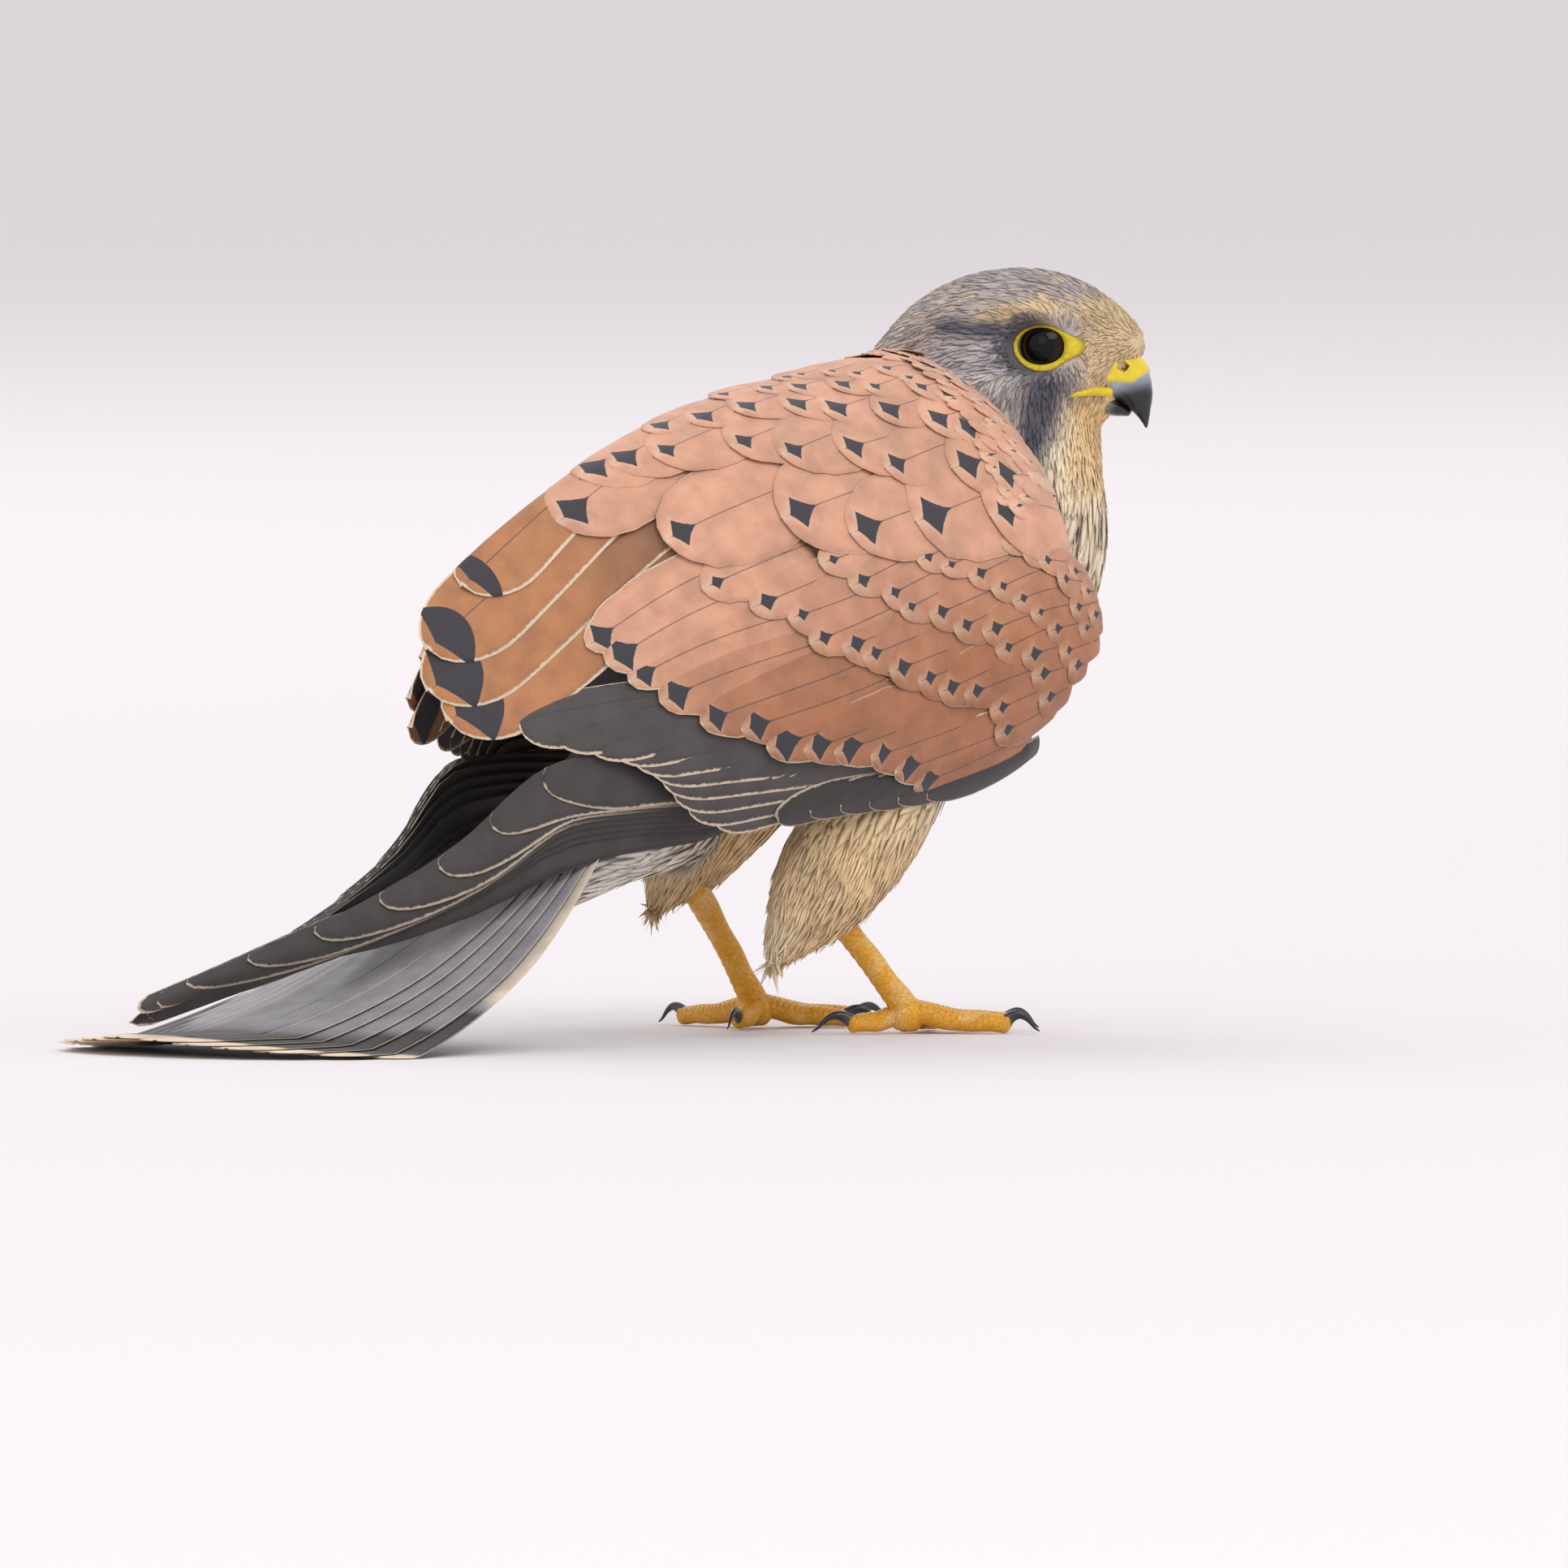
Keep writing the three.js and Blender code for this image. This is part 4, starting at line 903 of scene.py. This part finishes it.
def charts(points):
    """Which part of the body each point belongs to, and its place on that part's own unwrap."""
    def turn_round(rows, across):
        rows = np.array(rows, float)
        near = np.argmin(((points[:, None] - rows[None, :, :3]) ** 2).sum(2), 1)
        offset = points - rows[near, :3]
        return np.arctan2(offset[:, 1], offset[:, across]) / (2 * np.pi)

    local = to_head(points)
    x, y, z = points.T
    is_head = (points - [46, 0, 140]) @ np.array([0.33, -0.28, 0.9]) > 2
    chart = np.where(is_head, 1, 0)
    angle = np.where(is_head, np.arctan2(local[:, 1], local[:, 2] + 2) / (2 * np.pi), turn_round(TRUNK, 2))
    level = np.where(is_head, (local[:, 0] + 36) / 72, (x * 0.72 + z * 0.7 + 66) / 240)
    for number, leg in enumerate(LEGS.values()):
        shank = (z < 58) & (y * leg["side"] > 6) & (x > -50) & ~is_head
        chart = np.where(shank, 2 + number, chart)
        angle = np.where(shank, turn_round(leg["thigh"], 0), angle)
        level = np.where(shank, z / 60, level)
    return chart, angle, level


# The corner of the map for trunk, head and each thigh: low corner, width, height
CELLS = np.array([(0, 0, 0.62, 0.98), (0.64, 0.5, 0.34, 0.48), (0.64, 0, 0.16, 0.48), (0.82, 0, 0.16, 0.48)])


def unwrap(chart, angle, level):
    """Charts put in their own corners of the map."""
    cell = CELLS[chart]
    u = cell[..., 0] + cell[..., 2] * np.clip(0.08 + 0.84 * (angle + 0.5), 0.01, 0.99)
    v = cell[..., 1] + cell[..., 3] * np.clip(0.01 + 0.98 * level, 0.01, 0.99)
    return np.stack([u, v], -1)


def body_colours(points):
    """Colour, streak colour and streak strength over the whole body, for skin and coat alike."""
    f, s, z = to_head(points).T
    s = np.abs(s)
    x, y, up = points.T
    speckle = rng.random(len(points))
    head = smooth(121, 128, up + 0.1 * (x - 48) - 6 * smooth(30, 20, x)) * smooth(8, 20, x + (up - 135) * 0.9)
    saddle = smooth(3, -3, x - (13 + (150 - up) * 0.68)) * smooth(100, 108, up)
    rump = smooth(-50, -62, x) * smooth(66, 74, up)
    body = paint(
        CREAM,
        (BUFF, 0.2 + smooth(100, 60, up) * 0.5),
        (WHITE, smooth(58, 46, up) * smooth(-20, -60, x)),
        (WHITE, 0.45 * smooth(94, 70, up) * smooth(-10, 20, x)),
        (GOLD, smooth(60, 46, up) * smooth(-46, -30, x) * smooth(8, 14, np.abs(y))),
        (MANTLE, saddle),
        (TAIL_GREY, rump))
    streak = smooth(52, 66, up) * (speckle > 0.8) * smooth(-40, -10, x) * (1 - saddle) * (1 - rump)
    cheek = smooth(6, 0, z) * smooth(14, 4, f)
    low = smooth(-6, -16, z)
    brow = np.exp(-((z - 8.8 - 0.1 * (f - 14)) / 2.0) ** 2) * smooth(-4, 4, f) * smooth(8, 12, s)
    lores = smooth(17, 22, f) * smooth(13, 9, z)
    throat = smooth(13.5, 16.5, f - 0.2 * (z + 14)) * smooth(-7, -10, z)
    eye_line = np.exp(-((z - 4.4 - 0.12 * (4 - f)) / 2.4) ** 2)
    eye_line = eye_line * smooth(-14, -5, f) * smooth(11, 7, f) * smooth(8, 13, s)
    # A dark band round the eye's ring: dark plumage below and behind the eye, and painted shadow of the brow
    # above it
    ring = np.hypot((f - EYE_PLACE[0]) / 8.4, (z - EYE_PLACE[2]) / 6.6)
    near_eye = smooth(1.1, 0.95, ring) * smooth(6, 10, s) * smooth(15, 9, f)
    stripe = np.exp(-((f - 12.0 - 0.2 * (z + 8)) / lerp(3.0, 4.6, smooth(-20, -8, z))) ** 2)
    stripe = stripe * smooth(-2, -6, z) * smooth(-25, -19, z) * smooth(5, 9, s)
    dark = np.clip(np.maximum(np.maximum(eye_line, near_eye * 0.9), stripe * 1.15), 0, 1)
    skull = paint(
        GREY,
        (BUFF, np.where(speckle > 0.75, 0.5, 0.2)),
        (PALE_GREY, 0.45 * cheek * np.where(speckle > 0.4, 1, 0.3)),
        (CREAM, low * np.where(speckle > 0.35, 0.85, 0.15)),
        (BUFF, np.clip(brow, 0, 1) * 0.8),
        (LORES, lores * 0.9),
        (blend(THROAT, CHIN, smooth(13, 20, f)), throat),
        (SLATE, dark))
    colour = blend(body, skull, head)
    line = np.where(speckle < 0.22, 0.6, 0) * (1 - throat) * (1 - dark) * (1 - 0.8 * lores)
    mark_colour = blend(np.broadcast_to(STREAK, colour.shape), SLATE, head)
    return np.clip(colour, 0, 1), mark_colour, streak * (1 - head) + head * line


def lie(points, normals):
    """Which way the coat lies, and how much the eye parts it."""
    local = to_head(points)
    s, z = local[:, 1], local[:, 2]
    x, y, up = points.T
    head = smooth(132, 142, up)
    down = smooth(6, -10, z)
    flow = np.stack([-lerp(1.0, 0.45, down), 0 * s, lerp(-0.1, -1.0, down)], -1)
    from_eye = local - EYE_PLACE * np.stack([np.ones_like(s), np.sign(s), np.ones_like(s)], -1)
    push = smooth(13, 8, np.linalg.norm(from_eye * [1, 0.4, 1.2], axis=1))
    flow = turn_head(flow + unit(from_eye * [1, 0, 1]) * (push * 1.6)[:, None])
    breast = smooth(-10, 40, x) * smooth(60, 80, up)
    trunk = np.stack([-lerp(1.0, 0.35, breast), 0 * y, -lerp(0.3, 1.0, breast)], -1)
    leg = smooth(60, 50, up) * smooth(9, 13, np.abs(y)) * smooth(-50, -40, x)
    direction = blend(blend(trunk, np.array([-0.55, 0, -1.0]), leg), flow, head)
    direction = direction - (direction * normals).sum(1, keepdims=True) * normals
    return unit(direction), push * head


def scatter(points, quads, spacing):
    """Even roots over the surface: their places and normals."""
    corners = points[quads]
    normal = vertex_normals(points, quads)[quads].mean(1)
    double = np.cross(corners[:, 2] - corners[:, 0], corners[:, 3] - corners[:, 1])
    wanted = 0.5 * np.linalg.norm(double, axis=1) / spacing(corners.mean(1)) ** 2
    number = np.floor(wanted + rng.random(len(wanted))).astype(int)
    chosen = np.repeat(np.arange(len(quads)), number)
    a, b = rng.random((2, len(chosen), 1))
    c = corners[chosen]
    root = (c[:, 0] * (1 - a) + c[:, 1] * a) * (1 - b) + (c[:, 3] * (1 - a) + c[:, 2] * a) * b
    return root, unit(normal[chosen])


def nearest(tree, places):
    """The nearest place of a surface to each of many places, and its normal there."""
    found = [tree.find_nearest(place) for place in places.reshape(-1, 3).tolist()]
    near = np.array([(*spot, *normal) for spot, normal, _, _ in found])
    return near[:, :3].reshape(places.shape), near[:, 3:].reshape(places.shape)


def tufts(bag, tree, roots, normals, directions, length, width, lift, loose, colours, marks, strength, form):
    """Small feathers: thin closed leaves of four edges that rise from the skin and then follow it."""
    count, stations = len(roots), TUFT_STATIONS
    t = np.linspace(0, 1, stations)
    side = unit(np.cross(normals, directions))
    sway = (rng.random(count) - 0.5) * 0.3
    taper = np.sqrt(np.clip(1 - np.clip((t - 0.45) / 0.55, 0, 1) ** 1.8, 0.002, 1))
    taper = taper * lerp(0.45, 1, np.clip(t / 0.45, 0, 1))
    run = t[None, :] * length[:, None]
    rise = -0.35 + lift[:, None] * (t - 0.4 * t**2)
    line = (roots[:, None] + directions[:, None] * run[..., None]
            + side[:, None] * (sway[:, None] * run * t)[..., None])
    spot, upward = nearest(tree, line)
    centre = blend(spot, line, loose[:, None] * t) + upward * rise[..., None]
    half = 0.5 * width[:, None] * taper
    reach = unit(np.cross(upward, directions[:, None])) * half[..., None]
    up = upward * (TUFT_THICKNESS * (1 - 0.6 * t))[None, :, None]
    points = np.stack([centre - reach, centre + up, centre + reach, centre - up], 2)
    last = 4 * stations
    one = np.concatenate([grid_faces(stations, 4, closed=True)[:, [0, 3, 2, 1]],
                          [[0, 1, 2, 3], [last - 1, last - 2, last - 3, last - 4]]])
    faces = (one[None] + (np.arange(count) * last)[:, None, None]).reshape(-1, 4)
    shape = points.shape[:3]
    back = np.broadcast_to((length[:, None] * (1 - t))[..., None], shape)
    zero = np.zeros_like(half)
    offset = np.stack([-half, zero, half, zero], -1)
    rim = np.minimum(np.stack([zero, half, zero, half], -1), back)
    patch = np.stack([offset / width[:, None, None], np.broadcast_to(t[None, :, None] - 0.5, shape)], -1)
    uv = unwrap(*charts(roots))[:, None, None] + UV_PATCH * patch
    bag.add(points, faces, uv, tint=rgba(colours[:, None, None], 0, shape),
            mark=rgba(marks[:, None, None], strength[:, None, None, None], shape),
            place=np.stack([back, offset, rim], -1), form=np.broadcast_to(form[:, None, None], (*shape, 3)))


def coat_sizes(points):
    """Length and width of the small feathers, and the distance between their roots."""
    x, _, up = points.T
    head = smooth(116, 132, up)
    bill = smooth(14, 24, to_head(points)[:, 0]) * head
    length = lerp(lerp(13, 6.0, head), 3.2, bill)
    width = lerp(lerp(3.2, 1.0, head), 0.7, bill)
    leg = smooth(58, 46, up) * smooth(-50, -40, x)
    length, width = lerp(length, 11, leg), lerp(width, 1.0, leg)
    vent = smooth(-40, -60, x)
    return lerp(length, 16, vent), lerp(width, 2.0, vent), np.sqrt(length * width) / COAT_DENSITY


def hidden(points):
    """Roots under the folded wings, the bill and the eyes' rings, where nothing grows."""
    f, s, z = to_head(points).T
    x, y, up = points.T
    under = (x > -78) & (x < 4) & (up > 72) & (up < 142) & (np.abs(y) > 6)
    under |= (x > -2) & (x < 26) & (up > 76) & (up < 124) & (np.abs(y) > 20)
    high = 5.5 - 0.45 * np.clip(f - EYE_PLACE[0] - 1, 0, 7)
    ring = np.hypot((f - EYE_PLACE[0] - 1.3) / 7.8, (z - EYE_PLACE[2] + 0.2) / high)
    eyes = (ring < 1) & (np.abs(s) > 7)
    bill = (f > 24) & (z < -0.5) & (z > -13) & (np.abs(s) < 6)
    gape = (f > 16) & (np.abs(z + 9.4) < 0.5)
    return under | eyes | bill | gape


def build_coat(points, quads):
    """Tufts over the whole skin, in pieces from the feet up."""
    root, normal = scatter(points, quads, lambda p: coat_sizes(p)[2])
    keep = ~hidden(root)
    root, normal = root[keep], normal[keep]
    direction, push = lie(root, normal)
    length, width, _ = coat_sizes(root)
    length = length * (0.8 + 0.4 * rng.random(len(root))) * (1 - 0.45 * push)
    width = width * (0.8 + 0.4 * rng.random(len(root)))
    colour, mark_colour, mark = body_colours(root)
    colour = colour * (0.9 + 0.2 * rng.random((len(root), 1)))
    head = smooth(132, 142, root[:, 2])
    lift = lerp(1.5, 1.1, head) * (0.7 + 0.6 * rng.random(len(root)))
    loose = 0.75 * smooth(58, 34, root[:, 2]) * rng.random(len(root))
    form = np.stack([0.08 * length, 0.8 * length, 0.3 * width], -1)
    fields = root, normal, direction, length, width, lift, loose, colour, mark_colour, mark, form
    tree = BVHTree.FromPolygons(points.tolist(), quads.tolist())
    material = feather_material("coat_web", barbs=0.5, blunt=0.8, shaft=0.08, rim_width=0.35)
    order = np.argsort(root[:, 2])
    for number, start in enumerate(range(0, len(order), COAT_CHUNK)):
        pick = order[start:start + COAT_CHUNK]
        bag = Bag()
        tufts(bag, tree, *(field[pick] for field in fields))
        bag.piece(f"coat_{number}", material, "feathers")


def build_skin():
    points, quads = build_skin_form()
    chart, middle, _ = charts(points[quads].mean(1))
    _, angle, level = charts(points[quads].reshape(-1, 3))
    angle = angle - np.round(angle - np.repeat(middle, 4))
    uv = unwrap(np.repeat(chart, 4), angle, level)
    bag = Bag()
    bag.add(points, quads, np.zeros((len(points), 2)), tint=rgba(body_colours(points)[0], 0, (len(points),)))
    skin = bag.piece("skin", horn_material("skin_down", 0.9, 500.0, 0.3), "feathers",
                     "torso", "neck", "head", "thigh_right", "thigh_left")
    skin.data.uv_layers["OFBake"].data.foreach_set("uv", uv.ravel().astype(np.float32))
    return points, quads


# Eyes, bill and feet

def add_rings(bag, rings, colours):
    """A closed tube of rings in a bag, with its colours."""
    rows, sides, _ = rings.shape
    u, v = np.meshgrid(np.arange(sides) / sides, np.arange(rows) / rows)
    bag.add(rings, grid_faces(rows, sides, closed=True), np.stack([u, v], -1) * 0.98 + 0.01,
            tint=rgba(colours, 1, (rows, sides)))


def bill_half(name, rows, upper):
    sides = 64
    local, t = closed_tube([(f, 0, z, half, up, down) for f, z, half, up, down in rows], 72, sides)
    t = t[:, None]
    height, wide = np.sin(turns(sides))[None, :], np.abs(np.cos(turns(sides)))
    tomium = np.exp(-((t - 3.6) / 0.22) ** 2) * np.exp(-((wide - 0.75) / 0.25) ** 2)
    level = np.ones((len(t), sides))
    if upper:
        centre = local.mean(1, keepdims=True)
        local = local + (local - centre) * (0.16 * tomium * (height < 0))[..., None]
        edge = lerp(1.3, 2.35, smooth(-0.35, 0.45, height)) - t
        cere = smooth(-0.04, 0.06, edge)
        local = centre + (local - centre) * (1 + 0.1 * cere)[..., None]
        for side in (-1, 1):
            gap = np.hypot(local[..., 0] - NOSTRIL[0], local[..., 2] - NOSTRIL[2])
            gap = gap + 9 * (local[..., 1] * side < 1)
            local[..., 1] += side * 0.35 * np.exp(-((gap - 1.5) / 0.45) ** 2)
            pit = smooth(1.25, 0.75, gap)
            local[..., 1] -= side * 1.3 * pit
            # The pit takes the dark brown below: painted shade inside the nostril's hole
            cere = np.where(pit > 0.5, -1, cere)
        colour = paint(
            HORN,
            (HORN_TIP, smooth(1.7, 2.9, t - 0.35 * height * level)),
            (YELLOW, np.clip(cere, 0, 1)),
            (tone("#6a3a12"), np.clip(-cere, 0, 1)))
    else:
        colour = blend(tone("#a8a892"), HORN_TIP, smooth(0.9, 2.2, t * level))
    bag = Bag()
    add_rings(bag, from_head(local), colour)
    material = horn_material(f"horn_{name}", 0.34, 420.0, 0.12, 0.25)
    bag.piece(f"bill_{name}_horn", material, "bill", f"bill_{name}")


def build_gape():
    """The yellow corners of the mouth, and the small peg in each nostril."""
    bag = Bag()
    for side in (-1, 1):
        add_rings(bag, from_head(closed_tube(round_rows(GAPE, side), 24, 16)[0]), YELLOW * 0.9)
        peg = [(NOSTRIL[0] - 0.1, side * (NOSTRIL[1] - 1.4), NOSTRIL[2], 0.5, 0.5, 0.5),
               (NOSTRIL[0], side * (NOSTRIL[1] + 0.1), NOSTRIL[2], 0.36, 0.36, 0.36)]
        add_rings(bag, from_head(closed_tube(peg, 6, 12, sideways=(1, 0, 0))[0]), tone("#c98a2c"))
    bag.piece("gape", horn_material("bare_skin", 0.5, 700.0, 0.35), "bill")


def eye_material():
    g = Graph("eyeball")
    g.shader.inputs["Specular IOR Level"].default_value = 0.2
    return g.finish(g.attribute("tint").outputs["Color"], 0.04)


def skin_depth(skin, side, f, z):
    """How far out the skin lies beside each place of the head, seen from that side."""
    local = to_head(skin)
    local = local[(local[:, 1] * side > 5) & (local[:, 0] > -5) & (np.abs(local[:, 2]) < 14)]
    gap = (local[None, :, 0] - f.reshape(-1, 1)) ** 2 + (local[None, :, 2] - z.reshape(-1, 1)) ** 2
    near = np.argsort(gap, axis=1)[:, :5]
    return (local[near, 1] * side).mean(1).reshape(f.shape)


def build_eyeball(name, side):
    """The ball with its dark iris."""
    lo, la = np.meshgrid(turns(64), np.linspace(0.02, np.pi - 0.02, 48))
    bulge = 1 + 0.03 * smooth(0.75, 0.3, la)
    ball = EYE_PLACE * [1, side, 1] + EYE_RADIUS * bulge[..., None] * np.stack(
        [np.sin(la) * np.cos(lo), side * np.cos(la), np.sin(la) * np.sin(lo)], -1)
    iris = smooth(0.5, 0.56, la) * smooth(0.98, 0.9, la)
    bag = Bag()
    add_rings(bag, from_head(ball), blend(tone("#050506"), tone("#1a100b"), iris))
    bag.piece(f"eyeball_{name}", eye_material(), "eye", f"eye_{name}")


def build_eye_ring(name, side, skin):
    """The bare yellow ring round the eye, widest in front, darkened along its top by painted shade from the
    brow.
    """
    turn, share = turns(96), np.linspace(0, 1, 14)[:, None]
    front = np.exp(-(turn / 0.42) ** 2) + np.exp(-((turn - 2 * np.pi) / 0.42) ** 2)
    wide = 0.8 + 3.4 * front + 0.5 * np.exp(-((turn - 5.0) / 0.9) ** 2)
    wide = wide - 0.35 * np.exp(-((turn - 1.75) / 0.8) ** 2)
    out = lerp(-0.25, 1, share) * wide
    f = EYE_PLACE[0] + np.cos(turn) * (EYE_OPENING[0] + out)
    z = EYE_PLACE[2] + np.sin(turn) * (EYE_OPENING[1] + out)
    flat = np.hypot(np.cos(turn) * EYE_OPENING[0], np.sin(turn) * EYE_OPENING[1])
    ball_depth = EYE_PLACE[1] + np.sqrt(EYE_RADIUS**2 - flat**2)
    bed = np.maximum(skin_depth(skin, side, f, z), 11)
    depth = lerp(ball_depth + 0.2, bed + 0.35, smooth(0.05, 0.9, share))
    depth = np.maximum(depth, bed + 0.3) + 0.45 * np.sin(np.pi * np.clip(share * 1.1, 0, 1))
    depth = depth + 0.07 * np.sin(turn * 23) * np.sin(np.pi * share)
    ring = np.stack([f, side * depth, z], -1)
    closed = np.concatenate([ring, (ring - [0, side * 1.6, 0])[::-1]])
    rim = np.maximum(smooth(0.16, 0.0, share), 0.55 * smooth(0.7, 1.0, share))
    # Painted shade from the brow, darkening the top of the ring
    brow_shade = 0.5 * np.exp(-((turn - 1.75) / 0.75) ** 2)
    shade = blend(tone("#d8c226"), tone("#2a2417"), np.maximum(rim, brow_shade))
    bag = Bag()
    add_rings(bag, from_head(closed), np.concatenate([shade, shade[::-1]]))
    bag.piece(f"eye_ring_{name}", horn_material(f"eye_ring_skin_{name}", 0.5, 900.0, 0.4), "eye")


def on_floor(rings):
    """The same rings, with nothing below the floor."""
    return rings.clip(min=[-1e3, -1e3, FLOOR_GAP])


def toe_rows(base, ahead, side, length, bend):
    """A toe's centre line and radii, from the foot's middle to its claw."""
    rows = []
    for t in np.linspace(0, 1, 7):
        radius = TOE_RADIUS * lerp(1.12, 0.8, t)
        height = lerp(5.2, TOE_RADIUS * 0.85, min(1, t * 2.2)) + math.sin(math.pi * t) * 0.7
        spot = np.array([base[0], base[1], 0]) + ahead * t * length + side * bend * math.sin(math.pi * t)
        rows.append((spot[0], spot[1], height, radius, radius, radius * 0.95))
    return rows


def scutes(pitch, depth):
    """Ring factor of the plates on top of a toe or shank."""
    def shape(t, angle):
        saw = (t * pitch) % 1.0
        plate = depth * (smooth(0, 0.25, saw) - 1.2 * saw) * smooth(-0.1, 0.5, np.sin(angle))
        return 1 + plate + 0.05 * np.sin(t * pitch * 1.3) * smooth(0, -0.6, np.sin(angle))
    return shape


def build_foot(name, leg):
    bag, horn = Bag(), Bag()
    base = np.array(leg["base"], float)
    for toe, degrees in leg["toes"].items():
        length, claw = TOES[toe]
        ahead = np.array([math.cos(math.radians(degrees)), math.sin(math.radians(degrees)), 0])
        side = np.array([-ahead[1], ahead[0], 0])
        rows = toe_rows(base, ahead, side, length, 0 if toe == "back" else 0.6 * leg["side"])
        rings = closed_tube(rows, 84, 28, sideways=side, shape=scutes(length / 6 / 1.35, 0.13))[0]
        add_rings(bag, on_floor(rings), LEG * jitter(0.05))
        add_claw(horn, base, ahead, side, length - 0.8, claw)
    ankle = [(base[0] - 3, base[1], 4.0, 3.2, 3.2, 3.2), (base[0] - 1, base[1], 4.2, 4.2, 3.8, 3.8),
             (base[0] + 2, base[1], 3.8, 3.4, 3.0, 3.4)]
    add_rings(bag, on_floor(closed_tube(ankle, 16, 28)[0]), LEG)
    heel = np.array(leg["heel"], float)
    middle = lerp(base, heel, 0.5) + [1, 0, -0.6]
    rows = [(*p, *[TARSUS_RADIUS * swell] * 3) for p, swell in ((base, 1.1), (middle, 0.95), (heel, 1.15))]
    add_rings(bag, closed_tube(rows, 110, 28, shape=scutes(7, 0.07))[0], LEG)
    bag.piece(f"foot_scales_{name}", scale_material(f"leg_scales_{name}"), "leg_scales",
              f"foot_{name}", f"tarsus_{name}")
    horn.piece(f"claws_{name}", horn_material(f"claw_horn_{name}", 0.3, 300.0, 0.15, 0.3), "claw",
               *(f"claw_{toe}_{name}" for toe in leg["toes"]))


def add_claw(bag, base, ahead, side, reach, length):
    rows = []
    for t in np.linspace(0, 1, 8):
        radius = lerp(1.75, 0.16, t**0.8)
        spot = np.array([base[0], base[1], 0]) + ahead * (reach + length * (0.94 * t - 0.05 * t * t))
        height = 2.3 + 2.2 * math.sin(math.pi * min(1, t * 1.1)) - 1.7 * t**2
        rows.append((spot[0], spot[1], max(0.3, height), radius * 0.75, radius, radius))
    rings, t = closed_tube(rows, 36, 20, sideways=side)
    shade = blend(tone("#4a4c52"), HORN_TIP, smooth(0, 2.5, t)[:, None])
    add_rings(bag, on_floor(rings), shade)


# Stage

def build_stage():
    world = bpy.data.worlds.new("studio")
    bpy.context.scene.world = world
    world.use_nodes = True
    background = world.node_tree.nodes["Background"]
    background.inputs["Color"].default_value = (0.86, 0.83, 0.85, 1)
    background.inputs["Strength"].default_value = 1.05
    mesh = bpy.data.meshes.new("floor")
    corners = ((-1, -1), (1, -1), (1, 1), (-1, 1))
    mesh.from_pydata([(x * FLOOR_REACH, y * FLOOR_REACH, 0) for x, y in corners], [], [(0, 1, 2, 3)])
    mesh.materials.append(Graph("floor_paper").finish((0.76, 0.735, 0.75, 1), 0.8))
    linked("floor", mesh)
    for name, spot, energy in LAMPS:
        light = bpy.data.lights.new(name, "AREA")
        light.energy = energy
        light.size = LAMP_SIZE
        lamp = linked(name, light)
        lamp.location = spot
        lamp.rotation_euler = (Vector((0, 0, 0.08)) - Vector(spot)).to_track_quat("-Z", "Y").to_euler()


def build_camera():
    azimuth, elevation = math.radians(VIEW_AZIMUTH), math.radians(VIEW_ELEVATION)
    back = Vector((math.sin(azimuth) * math.cos(elevation), -math.cos(azimuth) * math.cos(elevation),
                   math.sin(elevation)))
    right = Vector((math.cos(azimuth), math.sin(azimuth), 0))
    target = (right * VIEW_CENTRE[0] + back.cross(right) * VIEW_CENTRE[1] + Vector(SHIFT)) / 1000
    data = bpy.data.cameras.new("camera")
    data.sensor_width = 36
    data.lens = VIEW_LENS
    data.clip_end = 100
    camera = linked("camera", data)
    camera.location = target + back * VIEW_DISTANCE
    camera.rotation_euler = back.to_track_quat("Z", "Y").to_euler()
    bpy.context.scene.camera = camera


build_stage()
build_camera()
build_wings()
build_tail()
skin_points, skin_quads = build_skin()
build_coat(skin_points, skin_quads)
bill_half("upper", BILL_UPPER, True)
bill_half("lower", BILL_LOWER, False)
build_gape()
for eye_name, eye_side in (("right", -1), ("left", 1)):
    build_eyeball(eye_name, eye_side)
    build_eye_ring(eye_name, eye_side, skin_points)
for leg_name, leg_form in LEGS.items():
    build_foot(leg_name, leg_form)
bpy.context.scene.view_settings.view_transform = "Standard"
